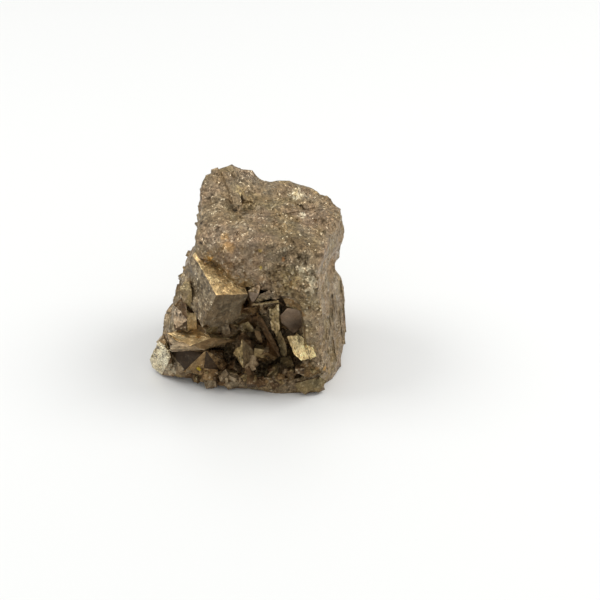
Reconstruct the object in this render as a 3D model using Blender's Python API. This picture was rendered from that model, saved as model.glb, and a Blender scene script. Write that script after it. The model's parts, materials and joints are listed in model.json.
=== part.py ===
"""A lump of pyrite as it broke from the vein: a rough massive head and back, a ribbed right
side, and a pocket of intergrown cube crystals across the front and left.

Frame: +Z up, +X to the right and -Y towards the crystal pocket. The origin is in the resting
plane, under the middle of the lump. Lengths in this file are millimetres until a mesh is made.

The places of most corners are given as the front view shows them. That view looks down on the
lump at 35 degrees: across is to the right and rise is up in the plane square to the line of
sight, and depth is how far the point lies behind the origin along +Y.
"""

import math
import random

import bmesh
import bpy
from mathutils import Euler, Vector, noise

MM = 0.001

# The front view that places are read in.
SIGHT_ELEVATION = math.radians(35)
SIGHT_DISTANCE = 262.0
SIGHT_CENTRE = (9.8, 9.6)
RIGHT = Vector((1, 0, 0))
UPWARD = Vector((0, math.sin(SIGHT_ELEVATION), math.cos(SIGHT_ELEVATION)))
TOWARDS = Vector((0, -math.cos(SIGHT_ELEVATION), math.sin(SIGHT_ELEVATION)))
EYE = RIGHT * SIGHT_CENTRE[0] + UPWARD * SIGHT_CENTRE[1] + TOWARDS * SIGHT_DISTANCE

# Grain of the massive skin.
SKIN_GRAIN = 0.8
SKIN_SHARE_KEPT = 0.17
LUMP_HEIGHT = 0.5
LUMP_SPAN = 6.5
KNOB_HEIGHT = 0.4
KNOB_SPAN = 2.4

# Hollows cut into the front before the crystals are set in them.
HOLLOW_MOUTH_DEPTH = -22.0
HOLLOW_TAPER = 0.8
POCKET_DEPTH = -6.6
SEAT_DEPTH = -4.5

FAR_FACE_SHARE = 0.85

# Broken cube ends over the back and left side, and grains over the top. A bearing of 90 degrees
# is the back and 180 the left. Sizes are from the least to the greatest edge.
SEED = 41
BACK_CRYSTALS = {
    "count": 26, "bearings": (45.0, 124.0), "heights": (1.5, 26.0), "sizes": (2.2, 4.6),
    "sunk": 0.42,
}
LEFT_CRYSTALS = {
    "count": 16, "bearings": (155.0, 205.0), "heights": (1.5, 18.0), "sizes": (1.4, 2.8),
    "sunk": 0.46,
}
TOP_GRAIN_COUNT = 44
TOP_REACH = ((-8.0, 15.0), (-8.5, 11.0))
TOP_SIZES = (1.2, 2.6)
TOP_SUNK_SHARE = 0.42
RAY_START = 60.0

# Small crystals on the pocket's floor, along the lower rim and on the ledge, each between two
# ends, (across, rise) of the front view, with the spread either side of that line.
POCKET_GRAINS = {
    "count": 14, "ends": ((-9.0, 3.0), (11.0, 4.5)), "spread": 4.5, "sizes": (1.6, 3.4),
    "sunk": 0.2,
}
RIM_GRAINS = {
    "count": 18, "ends": ((-12.5, -4.2), (9.5, -5.6)), "spread": 0.8, "sizes": (1.2, 2.4),
    "sunk": 0.25,
}
LEDGE_GRAINS = {
    "count": 12, "ends": ((3.0, 12.6), (11.6, 10.6)), "spread": 1.4, "sizes": (0.9, 1.8),
    "sunk": 0.3,
}

# Ribs of the right side, from its front edge to the back: how far apart, how thick, how proud.
RIB_COUNT = 13
RIB_FRONT = (12.6, -11.6)
RIB_BACK = (16.9, 1.5)
RIB_WIDTHS = (0.7, 1.3)
RIB_FEET = (1.5, 8.0)
RIB_TOPS = (11.0, 21.0)
RIB_PROUD = (0.15, 0.45)
RIB_ROOT = 2.0

# The resting plane's cutter.
CUTTER_SIDE = 80.0

PYRITE_COLOUR = (0.36, 0.28, 0.18, 1.0)
PYRITE_ROUGHNESS = 0.45
PYRITE_METALLIC = 0.7

# The massive part, corner by corner: (across, rise, depth) where the front view shows it.
HEAD_SEEN = (
    # plateau, from its front edge to the skyline
    (-9.2, 20.7, -4.5), (-4.1, 20.2, -7.5), (2.8, 20.2, -8.5), (9.8, 19.6, -8.5),
    (14.2, 18.5, -7.0), (2.4, 31.6, 12.5), (7.0, 31.6, 13.0), (10.9, 31.1, 12.5),
    (13.1, 30.2, 11.5), (15.9, 28.5, 10.0), (17.7, 26.4, 7.0), (18.1, 23.2, 4.0),
    (18.0, 20.0, 2.0), (-9.0, 26.6, 3.0),
    # ledge over the pocket
    (-9.8, 15.5, -6.0), (-0.6, 11.4, -9.5), (2.8, 12.4, -11.0), (6.7, 10.6, -11.5),
    (11.4, 9.8, -11.5), (13.1, 16.1, -9.0), (17.3, 17.2, 3.0),
)
HEAD_HIDDEN = ((2.0, 15.0, 20.0), (-8.0, 12.0, 20.0), (12.0, 12.5, 20.0))
LOBE_SEEN = (
    (-9.1, 26.4, 3.0), (-8.3, 32.8, 9.0), (-5.3, 34.4, 11.0), (-1.8, 34.9, 12.5),
    (0.9, 34.1, 12.8), (2.6, 31.6, 12.5), (1.5, 28.5, 6.0), (-3.0, 26.5, 2.0),
)
LOBE_HIDDEN = ((-9.0, 10.0, 22.0), (0.0, 14.5, 24.0))
TRUNK_SEEN = (
    # left skyline
    (-9.9, 19.0, -3.0), (-10.8, 16.0, -3.0), (-12.3, 11.5, -3.0), (-14.8, 5.0, -3.0),
    (-16.4, 0.5, -4.0),
    # right wall
    (11.6, 9.6, -11.5), (11.6, 3.5, -12.2), (13.2, 0.2, -12.8), (14.5, -3.3, -12.8),
    (13.1, 16.1, -9.0), (18.1, 13.3, 3.0), (18.2, 9.4, 4.0), (18.2, 3.0, 1.0),
    (17.5, -2.0, -3.5), (15.9, -4.6, -8.0),
    # ledge
    (-0.6, 11.4, -9.5), (6.7, 10.2, -11.5),
)
TRUNK_HIDDEN = (
    # resting face, below the plane that it is later cut at
    (-7.0, -3.0, -0.6), (-2.0, -6.5, -0.6), (4.0, -9.0, -0.6), (10.5, -12.2, -0.6),
    (12.5, -10.5, -0.6), (12.0, -3.0, -0.6), (11.0, 3.0, -0.6), (7.0, 7.0, -0.6),
    (0.0, 7.5, -0.6), (-5.0, 6.0, -0.6), (-8.0, 2.0, -0.6),
    # rim round it
    (-13.8, -9.4, 1.2), (-7.0, -10.4, 0.9), (1.5, -12.2, 0.5), (15.7, -7.5, 1.0),
    (16.6, 3.5, 2.6), (12.0, 11.2, 2.8), (2.0, 12.8, 2.8), (-8.0, 11.8, 2.8),
    (-14.5, 5.5, 3.0),
    # back
    (-14.2, 4.0, 6.0), (-12.0, 10.5, 9.0), (-3.0, 14.0, 10.0), (8.0, 14.0, 9.0),
    (14.5, 10.0, 8.0), (17.0, 5.0, 12.0), (-9.6, 8.0, 18.0), (9.0, 13.5, 20.0),
    (-5.0, 13.0, 20.0),
)
POCKET_SEEN = (
    (-6.0, 13.8), (2.0, 13.2), (7.0, 11.6), (11.2, 10.4), (11.4, 3.5), (12.6, 0.2),
    (13.4, -4.0), (10.0, -6.2), (2.0, -6.0), (-8.0, -5.0), (-14.5, -3.4), (-13.0, 4.0),
    (-10.5, 10.0),
)
SEAT_SEEN = (
    (-11.5, 17.5), (-9.4, 18.6), (-5.0, 17.0), (-0.2, 11.8), (-0.2, 8.0), (-8.0, 5.0),
    (-12.5, 6.0),
)

# Square crystals of the front: nearest corner (across, rise, depth), then its three spokes.
CORNER_CRYSTALS = {
    "wedge": ((-5.7, 10.5, -13.5), ((-4.6, 7.6), (5.3, 0.2), (-2.7, -5.5))),
    "under_wedge": ((-7.6, 4.1, -9.5), ((3.7, 2.2), (-2.8, 1.9), (0.0, -2.0))),
    "mid_step": ((-4.6, 2.6, -9.0), ((3.2, 0.9), (-1.4, 2.4), (-0.8, -1.6))),
    "mid_plate": ((-1.7, 4.6, -8.5), ((-2.2, 1.1), (2.2, 0.6), (-0.1, -0.6))),
    "mid_cube": ((0.2, 5.6, -8.0), ((0.7, 2.6), (-2.0, -0.7), (1.2, -1.6))),
    "rough_cube": ((3.5, 0.0, -10.5), ((0.2, 2.2), (-2.0, -1.2), (2.0, -1.1))),
    "low_cube": ((0.0, -3.9, -11.5), ((0.2, 1.4), (-1.5, -0.8), (1.5, -0.7))),
    "low_cube_left": ((-2.6, -3.0, -10.6), ((0.3, 1.6), (-1.7, -0.7), (1.3, -1.0))),
    "low_cube_right": ((8.2, -3.9, -12.8), ((0.2, 1.3), (-1.1, -0.5), (1.0, -0.7))),
    "low_bit": ((5.6, -4.0, -12.0), ((0.4, 2.0), (-1.8, -1.0), (1.6, -1.2))),
    "brow_knob": ((8.9, 11.6, -11.8), ((0.1, 1.5), (-1.2, -0.6), (1.2, -0.5))),
    "brow_end": ((11.4, 11.9, -11.4), ((0.4, 2.6), (-1.3, -0.7), (0.9, -1.0))),
    "wedge_tip": ((-7.0, 16.8, -6.5), ((0.0, 1.5), (-1.4, -0.8), (1.3, -0.9))),
    "skyline_block": ((9.2, 27.9, 6.0), ((0.3, 2.8), (-1.8, -1.0), (2.1, -1.3))),
    "yellow_grain": ((-9.1, -2.8, -11.0), ((0.1, 0.9), (-0.6, -0.5), (0.6, -0.5))),
    "right_chip": ((12.2, 2.4, -11.8), ((0.1, 2.4), (-0.8, -0.6), (0.9, -0.9))),
}

# Flat crystals whose face shows as an outline: corners (across, rise), then the depth of the
# face's middle, how that depth grows per millimetre across and up, and the thickness.
FACE_CRYSTALS = {
    "hexagon": (
        ((6.1, 6.7), (7.4, 8.1), (9.3, 8.0), (10.9, 6.1), (10.4, 4.8), (8.5, 3.4), (6.4, 5.4)),
        -9.0, (0.15, -0.35), 3.0,
    ),
    "hexagon_brow": (
        ((6.7, 9.8), (8.2, 10.3), (10.9, 9.2), (10.6, 7.4), (9.2, 8.0), (7.3, 8.4)),
        -10.0, (0.1, 0.5), 3.0,
    ),
    "lath": (
        ((4.1, 8.4), (5.9, 8.9), (6.0, 6.7), (6.1, 4.0), (5.4, 2.8), (4.6, 4.1), (4.2, 6.1)),
        -9.8, (-0.6, 0.1), 2.4,
    ),
    "blade_one": (
        ((1.3, 8.0), (2.8, 6.3), (4.3, 3.5), (5.8, 0.8), (6.2, -1.1), (4.9, 0.2), (1.9, 5.6)),
        -8.0, (-0.5, 0.1), 2.0,
    ),
    "blade_two": (
        ((4.8, 5.6), (6.2, 4.0), (7.4, 0.9), (7.5, -1.2), (6.4, -0.6), (5.5, 2.0)),
        -8.6, (-0.5, 0.1), 2.0,
    ),
    "blade_three": (
        ((1.4, 4.0), (2.5, 3.8), (2.9, 1.6), (1.8, 1.6)),
        -8.6, (0.3, 0.4), 2.0,
    ),
    "bright_block": (
        ((7.4, 2.8), (9.1, 3.5), (11.7, 1.7), (13.0, -0.9), (11.8, -1.5), (10.0, -1.6), (8.7, -0.4)),
        -12.6, (-0.1, 0.6), 3.4,
    ),
    "low_right_face": (
        ((9.5, -2.2), (11.5, -1.8), (13.4, -2.4), (13.8, -3.8), (11.5, -4.8), (9.9, -4.2)),
        -12.8, (0.0, 0.4), 3.0,
    ),
    "low_right_bit": (
        ((13.4, -1.8), (14.6, -2.2), (14.8, -3.8), (13.8, -4.0)),
        -12.2, (0.5, 0.3), 2.0,
    ),
    "left_post_side": (
        ((-11.3, 7.8), (-9.4, 7.0), (-9.2, 4.2), (-10.9, 3.8)),
        -8.2, (0.5, 0.2), 3.0,
    ),
    "low_slope": (
        ((-0.4, -0.8), (1.6, -0.6), (2.2, -2.4), (0.4, -3.8), (-0.5, -2.8)),
        -10.4, (0.3, 0.3), 3.0,
    ),
}

# Crystals and lumps of other shapes, by their corners (across, rise, depth).
ODD_CRYSTALS = {
    "shelf": (
        (-14.8, 3.5, -8.0), (-8.1, 4.9, -6.5), (-6.3, 3.2, -9.6), (-6.7, 2.6, -10.6),
        (-10.5, 1.1, -12.4), (-14.1, 0.4, -12.6), (-13.9, 0.0, -12.0), (-7.6, 0.4, -11.0),
        (-1.7, 2.2, -8.0), (-14.5, 1.0, -5.0), (-6.0, 1.5, -5.0),
    ),
    "corner_lump": (
        (-16.3, 2.0, -6.5), (-15.4, 2.8, -6.0), (-14.6, 0.7, -9.0), (-14.1, -0.8, -9.6),
        (-14.7, -2.3, -9.5), (-13.6, -4.6, -8.5), (-15.8, -4.2, -7.5), (-17.5, -2.9, -5.8),
        (-18.0, -1.4, -5.0), (-17.2, 0.6, -5.5), (-13.0, 0.0, -3.0), (-13.0, -4.0, -3.0),
    ),
    "lobe_ridge": (
        (-4.6, 33.4, 9.2), (-3.2, 33.2, 9.4), (-1.0, 27.2, 2.0), (-2.4, 27.0, 1.6),
        (-5.5, 31.0, 9.0), (-1.0, 30.5, 7.5), (-3.4, 30.4, 5.4),
    ),
    "under_shelf": (
        (-7.6, 0.3, -10.6), (-11.8, -3.7, -10.8), (-14.1, 0.2, -8.0), (-12.8, -3.2, -9.4),
        (-4.6, 0.4, -8.0), (-3.1, -2.0, -8.6), (-4.6, -3.9, -10.0), (-8.1, -4.4, -10.8),
        (-8.0, -2.0, -4.0), (-12.0, 0.0, -4.0),
    ),
    "left_nugget": (
        (-12.6, 11.5, -6.8), (-12.0, 13.4, -5.6), (-10.5, 13.9, -6.0), (-10.0, 11.5, -8.6),
        (-10.4, 8.0, -8.2), (-11.8, 9.1, -7.4), (-11.0, 12.0, -2.0), (-11.0, 8.5, -2.0),
    ),
    "left_post": (
        (-13.6, 8.5, -6.8), (-12.2, 10.0, -6.4), (-11.3, 9.6, -7.4), (-11.0, 5.9, -9.6),
        (-11.3, 4.1, -9.8), (-13.6, 4.1, -8.4), (-12.0, 9.0, -2.0), (-12.0, 4.0, -2.0),
    ),
    "brow_face": (
        (0.2, 11.3, -10.4), (2.6, 12.7, -11.4), (2.2, 10.7, -11.6), (0.9, 8.7, -10.4),
        (-0.8, 10.0, -6.0), (1.5, 13.0, -6.0), (1.5, 8.0, -6.0),
    ),
    "brow_fin": (
        (2.4, 10.7, -11.2), (4.3, 11.5, -11.6), (4.3, 9.8, -10.8), (1.3, 8.9, -9.8),
        (2.5, 9.0, -5.0), (4.0, 11.0, -5.0),
    ),
    "brow_tooth": (
        (4.4, 11.2, -11.6), (6.2, 10.0, -11.7), (4.6, 9.1, -10.2), (4.8, 10.8, -6.0),
        (5.8, 9.5, -6.0), (4.5, 9.3, -6.0),
    ),
    "brow_blade": (
        (0.9, 8.9, -10.2), (5.9, 9.6, -11.2), (5.9, 9.1, -11.0), (0.9, 8.5, -10.0),
        (5.5, 9.2, -5.0), (1.2, 8.7, -5.0),
    ),
    "rhomb": (
        (-0.9, 2.4, -10.2), (-0.7, -3.0, -11.4), (-2.6, -0.2, -9.6), (1.9, -0.4, -9.2),
        (0.9, 2.1, -8.8), (0.5, 0.0, -5.0), (-1.5, 1.0, -5.0),
    ),
    "foot": (
        (9.0, -5.8, -12.8), (13.5, -4.6, -12.4), (14.8, -5.4, -12.0), (14.5, -7.0, -12.0),
        (13.3, -7.7, -12.8), (10.8, -7.9, -13.2), (9.0, -7.4, -12.8), (12.0, -3.0, -8.0),
        (10.0, -6.0, -8.0),
    ),
}


def seen(across, rise, depth):
    """The point that shows at that place in the front view, at that depth."""
    spot = RIGHT * across + UPWARD * rise
    ray = spot - EYE
    return EYE + ray * ((depth - EYE.y) / ray.y)


def edge_directions(spokes):
    """Unit directions of a block's three edges, from how they fan out of its nearest corner.

    Each spoke is (across, rise). Square corners leave one way only to read three spokes that
    stand more than a right angle apart, and this is it.
    """
    angles = [math.atan2(rise, across) for across, rise in spokes]
    shares = []
    for i in range(3):
        between = angles[(i + 1) % 3] - angles[(i + 2) % 3]
        shares.append(math.sin(2 * between))
    total = sum(shares)
    directions = []
    for angle, share in zip(angles, shares):
        flat = 2 * share / total
        if not 0 < flat < 1:
            raise ValueError(f"spokes {spokes} don't stand more than a right angle apart")
        on_plane = math.sqrt(flat)
        away = math.sqrt(1 - flat)
        directions.append(
            RIGHT * (on_plane * math.cos(angle))
            + UPWARD * (on_plane * math.sin(angle))
            - TOWARDS * away
        )
    return directions, [math.sqrt(2 * share / total) for share in shares]


def object_from(name, bm):
    """A linked object made from a bmesh in millimetres."""
    mesh = bpy.data.meshes.new(name)
    bmesh.ops.scale(bm, vec=(MM, MM, MM), verts=bm.verts)
    bm.to_mesh(mesh)
    bm.free()
    made = bpy.data.objects.new(name, mesh)
    bpy.context.scene.collection.objects.link(made)
    return made


def hull(name, points):
    """The convex solid round some points."""
    bm = bmesh.new()
    for point in points:
        bm.verts.new(point)
    bmesh.ops.convex_hull(bm, input=bm.verts)
    bmesh.ops.delete(bm, geom=[v for v in bm.verts if not v.link_faces], context="VERTS")
    bmesh.ops.dissolve_limit(bm, angle_limit=math.radians(0.5), verts=bm.verts, edges=bm.edges)
    bmesh.ops.recalc_face_normals(bm, faces=bm.faces)
    return object_from(name, bm)


def block(name, corner, directions, lengths):
    """A rectangular crystal from one corner, its three edge directions and their lengths."""
    points = []
    for i in range(8):
        point = corner.copy()
        for axis in range(3):
            if i >> axis & 1:
                point = point + directions[axis] * lengths[axis]
        points.append(point)
    return hull(name, points)


def near_corner_block(name, place, spokes):
    """A crystal given by its nearest corner, (across, rise, depth), and three spokes."""
    directions, shown = edge_directions(spokes)
    lengths = [math.hypot(*spoke) / part for spoke, part in zip(spokes, shown)]
    return block(name, seen(*place), directions, lengths)


def face_block(name, outline, depth, tilt, thickness):
    """A crystal whose near face shows as an outline and whose far face is a little smaller."""
    middle = sum((Vector(p) for p in outline), Vector((0, 0))) / len(outline)
    points = []
    for corner in outline:
        offset = Vector(corner) - middle
        near = depth + offset.x * tilt[0] + offset.y * tilt[1]
        points.append(seen(*corner, near))
        inner = middle + offset * FAR_FACE_SHARE
        points.append(seen(*inner, depth) - TOWARDS * thickness)
    return hull(name, points)


def hollow(name, outline, depth):
    """A cutter for the front, wider at its mouth than at its floor at that depth."""
    mouth = [seen(across, rise, HOLLOW_MOUTH_DEPTH) for across, rise in outline]
    middle = sum((Vector(p) for p in outline), Vector((0, 0))) / len(outline)
    floor = []
    for corner in outline:
        across, rise = middle + (Vector(corner) - middle) * HOLLOW_TAPER
        floor.append(seen(across, rise, depth))
    return hull(name, mouth + floor)


def modified(source, name, settings):
    """A new object holding what a stack of modifiers, (kind, {setting: value}), makes of one."""
    for kind, values in settings:
        modifier = source.modifiers.new(kind.title(), kind)
        for setting, value in values.items():
            setattr(modifier, setting, value)
    bpy.context.view_layer.update()
    graph = bpy.context.evaluated_depsgraph_get()
    mesh = bpy.data.meshes.new_from_object(source.evaluated_get(graph))
    made = bpy.data.objects.new(name, mesh)
    bpy.context.scene.collection.objects.link(made)
    bpy.data.objects.remove(source)
    return made


def remove(*objects):
    """Takes helper objects out of the scene."""
    for obj in objects:
        bpy.data.objects.remove(obj)


def roughened(obj):
    """Broad lumps and small knobs on the massive skin."""
    mesh = obj.data
    shifts = []
    for vertex in mesh.vertices:
        spot = vertex.co / MM
        broad = noise.noise(spot / LUMP_SPAN + Vector((3.1, 7.7, 1.3)))
        small = noise.noise(spot / KNOB_SPAN + Vector((9.2, 4.4, 6.6)))
        shifts.append(vertex.normal * ((broad * LUMP_HEIGHT + small * KNOB_HEIGHT) * MM))
    for vertex, shift in zip(mesh.vertices, shifts):
        vertex.co += shift
    mesh.update()


def mass_object():
    """The massive part: head, left lobe and trunk in one skin, with the pocket cut into it."""
    trunk = hull("trunk", [seen(*p) for p in TRUNK_SEEN] + [Vector(p) for p in TRUNK_HIDDEN])
    head = hull("head", [seen(*p) for p in HEAD_SEEN] + [Vector(p) for p in HEAD_HIDDEN])
    lobe = hull("lobe", [seen(*p) for p in LOBE_SEEN] + [Vector(p) for p in LOBE_HIDDEN])
    pocket = hollow("pocket", POCKET_SEEN, POCKET_DEPTH)
    seat = hollow("seat", SEAT_SEEN, SEAT_DEPTH)
    mass = modified(trunk, "mass", [
        ("BOOLEAN", {"operation": "UNION", "object": head}),
        ("BOOLEAN", {"operation": "UNION", "object": lobe}),
        ("BOOLEAN", {"operation": "DIFFERENCE", "object": pocket}),
        ("BOOLEAN", {"operation": "DIFFERENCE", "object": seat}),
        ("REMESH", {"mode": "VOXEL", "voxel_size": SKIN_GRAIN * MM}),
    ])
    remove(head, lobe, pocket, seat)
    roughened(mass)
    return modified(mass, "mass", [
        ("DECIMATE", {"ratio": SKIN_SHARE_KEPT}),
    ])


def front_crystals():
    """The crystals of the pocket and round it."""
    made = [near_corner_block(name, *spec) for name, spec in CORNER_CRYSTALS.items()]
    made += [face_block(name, *spec) for name, spec in FACE_CRYSTALS.items()]
    made += [hull(name, [seen(*p) for p in points]) for name, points in ODD_CRYSTALS.items()]
    return made


def skin_hit(mass, origin, direction):
    """Where a ray meets the massive part, and the outward direction there."""
    hit, place, normal, _ = mass.ray_cast(origin * MM, direction)
    return (place / MM, normal) if hit else None


def turned_block(name, middle, size, rng):
    """A crystal with unequal edges round that size, turned at random."""
    turn = Euler([rng.uniform(0, math.tau) for _ in range(3)]).to_matrix()
    directions = [turn.col[axis] for axis in range(3)]
    lengths = [size * rng.uniform(0.7, 1.3) for _ in range(3)]
    corner = middle - sum((d * (s / 2) for d, s in zip(directions, lengths)), Vector())
    return block(name, corner, directions, lengths)


def grown(mass, origin, direction, sizes, sunk, rng):
    """A turned crystal on the massive part where a ray meets it, in a list that may be empty."""
    found = skin_hit(mass, origin, direction)
    if not found:
        return []
    place, normal = found
    size = rng.uniform(*sizes)
    return [turned_block("grown", place - normal * size * sunk, size, rng)]


def side_crystals(mass, spec, rng):
    """Broken ends of cubes over a range of bearings."""
    made = []
    for _ in range(spec["count"]):
        bearing = math.radians(rng.uniform(*spec["bearings"]))
        outward = Vector((math.cos(bearing), math.sin(bearing), 0))
        origin = outward * RAY_START + Vector((0, 0, rng.uniform(*spec["heights"])))
        made += grown(mass, origin, -outward, spec["sizes"], spec["sunk"], rng)
    return made


def top_grains(mass, rng):
    """Small crystals standing out of the top."""
    made = []
    for _ in range(TOP_GRAIN_COUNT):
        above = Vector((rng.uniform(*TOP_REACH[0]), rng.uniform(*TOP_REACH[1]), RAY_START))
        made += grown(mass, above, Vector((0, 0, -1)), TOP_SIZES, TOP_SUNK_SHARE, rng)
    return made


def front_grains(mass, spec, rng):
    """Small crystals along a line of the front view, wherever it meets the massive part."""
    made = []
    start, end = (Vector(p) for p in spec["ends"])
    for _ in range(spec["count"]):
        place = start.lerp(end, rng.random())
        place.y += rng.uniform(-spec["spread"], spec["spread"])
        ray = (seen(*place, 0.0) - EYE).normalized()
        made += grown(mass, EYE, ray, spec["sizes"], spec["sunk"], rng)
    return made


def wall_ribs(mass, rng):
    """Upright ribs along the right side."""
    made = []
    front, back = Vector((*RIB_FRONT, 0)), Vector((*RIB_BACK, 0))
    along = (back - front).normalized()
    outward = Vector((along.y, -along.x, 0))
    for i in range(RIB_COUNT):
        place = front.lerp(back, i / (RIB_COUNT - 1))
        width, proud = rng.uniform(*RIB_WIDTHS), rng.uniform(*RIB_PROUD)
        ends = (rng.uniform(*RIB_FEET), rng.uniform(*RIB_TOPS))
        points = []
        for height in ends:
            origin = place + outward * RAY_START + Vector((0, 0, height))
            found = skin_hit(mass, origin, -outward)
            if found:
                crest = found[0] + outward * proud
                points.append(crest)
                points += [found[0] + along * width * side - outward * RIB_ROOT for side in (-1, 1)]
        if len(points) == 6:
            made.append(hull("rib", points))
    return made


def base_cutter():
    """Everything under the resting plane."""
    corner = Vector((-CUTTER_SIDE / 2, -CUTTER_SIDE / 2, -CUTTER_SIDE))
    directions = (Vector((1, 0, 0)), Vector((0, 1, 0)), Vector((0, 0, 1)))
    return block("under", corner, directions, [CUTTER_SIDE] * 3)


def one_shell(obj):
    """Keeps the outer skin only, so that no void is sealed between crystals."""
    bm = bmesh.new()
    bm.from_mesh(obj.data)
    bm.verts.ensure_lookup_table()
    left = set(bm.verts)
    shells = []
    while left:
        start = left.pop()
        shell, edge = {start}, [start]
        while edge:
            for link in edge.pop().link_edges:
                for vertex in link.verts:
                    if vertex in left:
                        left.discard(vertex)
                        shell.add(vertex)
                        edge.append(vertex)
        shells.append(shell)
    outer = max(shells, key=len)
    bmesh.ops.delete(bm, geom=[v for v in bm.verts if v not in outer], context="VERTS")
    bm.to_mesh(obj.data)
    bm.free()


def joined(mass, crystals):
    """The mass and its crystals as one solid, flat where it rests."""
    group = bpy.data.collections.new("crystals")
    for crystal in crystals:
        group.objects.link(crystal)
    under = base_cutter()
    specimen = modified(mass, "pyrite_specimen", [
        ("BOOLEAN", {"operation": "UNION", "operand_type": "COLLECTION", "collection": group}),
        ("BOOLEAN", {"operation": "DIFFERENCE", "object": under}),
    ])
    remove(under, *crystals)
    bpy.data.collections.remove(group)
    one_shell(specimen)
    specimen.data.materials.clear()
    specimen.data.materials.append(pyrite())
    return specimen


def pyrite():
    """The mineral's dull bronze."""
    material = bpy.data.materials.new("pyrite")
    material.use_nodes = True
    shader = material.node_tree.nodes["Principled BSDF"]
    shader.inputs["Base Color"].default_value = PYRITE_COLOUR
    shader.inputs["Roughness"].default_value = PYRITE_ROUGHNESS
    shader.inputs["Metallic"].default_value = PYRITE_METALLIC
    return material


def main():
    for old in list(bpy.data.objects):
        bpy.data.objects.remove(old)
    mass = mass_object()
    bpy.context.view_layer.update()
    rng = random.Random(SEED)
    crystals = front_crystals()
    crystals += side_crystals(mass, BACK_CRYSTALS, rng)
    crystals += side_crystals(mass, LEFT_CRYSTALS, rng)
    crystals += top_grains(mass, rng)
    for spec in (POCKET_GRAINS, RIM_GRAINS, LEDGE_GRAINS):
        crystals += front_grains(mass, spec, rng)
    crystals += wall_ribs(mass, rng)
    joined(mass, crystals)


if __name__ == "__main__":
    main()
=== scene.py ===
"""The looks of a lump of pyrite: its broken skin, its pocket of crystals, and the light on it.

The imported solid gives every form. Its facets are read as crystal faces or as massive skin. Small
crystals are made one with it, and the whole is split fine and broken up. Lengths are millimetres
unless a name says metres. A pixel is a place in the photograph, across and down from its top left
corner.
"""

from __future__ import annotations

import json
import logging
import math
import random
from dataclasses import dataclass, field
from enum import Enum

import bmesh
import bpy
import numpy as np
from mathutils import Matrix, Vector, noise
from mathutils.bvhtree import BVHTree
from mathutils.kdtree import KDTree

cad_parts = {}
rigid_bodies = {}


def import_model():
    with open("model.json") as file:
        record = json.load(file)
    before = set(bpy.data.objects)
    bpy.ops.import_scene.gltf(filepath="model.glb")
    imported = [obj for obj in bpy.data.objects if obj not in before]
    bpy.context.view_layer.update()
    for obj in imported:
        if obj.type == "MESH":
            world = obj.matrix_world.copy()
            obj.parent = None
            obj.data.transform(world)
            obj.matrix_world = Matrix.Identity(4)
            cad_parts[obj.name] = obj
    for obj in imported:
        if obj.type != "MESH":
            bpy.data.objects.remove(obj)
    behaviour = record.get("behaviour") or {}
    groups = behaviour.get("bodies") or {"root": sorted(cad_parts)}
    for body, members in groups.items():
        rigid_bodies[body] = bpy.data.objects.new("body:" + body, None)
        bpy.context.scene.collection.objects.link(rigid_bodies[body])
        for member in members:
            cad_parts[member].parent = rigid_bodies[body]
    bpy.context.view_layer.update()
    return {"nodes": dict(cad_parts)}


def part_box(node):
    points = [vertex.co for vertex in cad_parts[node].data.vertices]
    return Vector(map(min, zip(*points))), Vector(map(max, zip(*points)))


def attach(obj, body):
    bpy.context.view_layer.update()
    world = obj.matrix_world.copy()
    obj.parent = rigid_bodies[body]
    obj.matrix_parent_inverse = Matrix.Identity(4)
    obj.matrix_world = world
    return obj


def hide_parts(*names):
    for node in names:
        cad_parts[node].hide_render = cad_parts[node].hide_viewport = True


LOG = logging.getLogger("specimen")
NODE = "pyrite_specimen"
METRE = 1000.0
TINY = 1e-9
WALL_STARTS = 0.45
WALL_SPAN = 0.3
Colour = tuple[float, float, float]
Pixel = tuple[float, float]
Range = tuple[float, float]


def linear(red: float, green: float, blue: float) -> Colour:
    """Turns a screen colour into the light that a shader works with.

    Args:
        red: How red it looks on a screen, from 0 to 255.
        green: How green it looks.
        blue: How blue it looks.

    Returns:
        The colour in linear light, from 0 to 1.
    """
    parts = []
    for value in (red, green, blue):
        share = value / 255
        parts.append(share / 12.92 if share <= 0.04045 else ((share + 0.055) / 1.055) ** 2.4)
    return parts[0], parts[1], parts[2]


def kept(value: float, low: float = 0.0, high: float = 1.0) -> float:
    """A number, kept between two bounds."""
    return max(low, min(high, value))


def wall_share(normal: Vector) -> float:
    """How far skin that faces this way belongs to the ribbed right wall, from 0 to 1."""
    return kept((normal.x - WALL_STARTS) / WALL_SPAN)


class Tint(Enum):
    """The colours that metal, tarnish and rust give the mineral, with the pale gold of its painted
    highlights and the near black of its painted shade.
    """

    BRONZE = linear(158, 139, 111)
    GOLD = linear(196, 175, 130)
    # Pale gold, laid on as painted highlights where faces and grains catch the lamps.
    PALE_GOLD_HIGHLIGHT = linear(230, 218, 188)
    TAN = linear(184, 160, 118)
    OLIVE = linear(152, 133, 93)
    BROWN = linear(134, 108, 72)
    UMBER = linear(102, 78, 50)
    MAUVE = linear(156, 134, 113)
    STEEL = linear(142, 123, 95)
    SLATE = linear(112, 95, 70)
    ROSE = linear(166, 145, 120)
    WALL = linear(162, 142, 115)
    SULPHUR = linear(206, 178, 40)
    OCHRE = linear(196, 152, 84)
    RUST = linear(206, 130, 52)
    # Near black: the painted shade inside pits.
    PIT_SHADE = linear(34, 27, 22)


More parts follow.
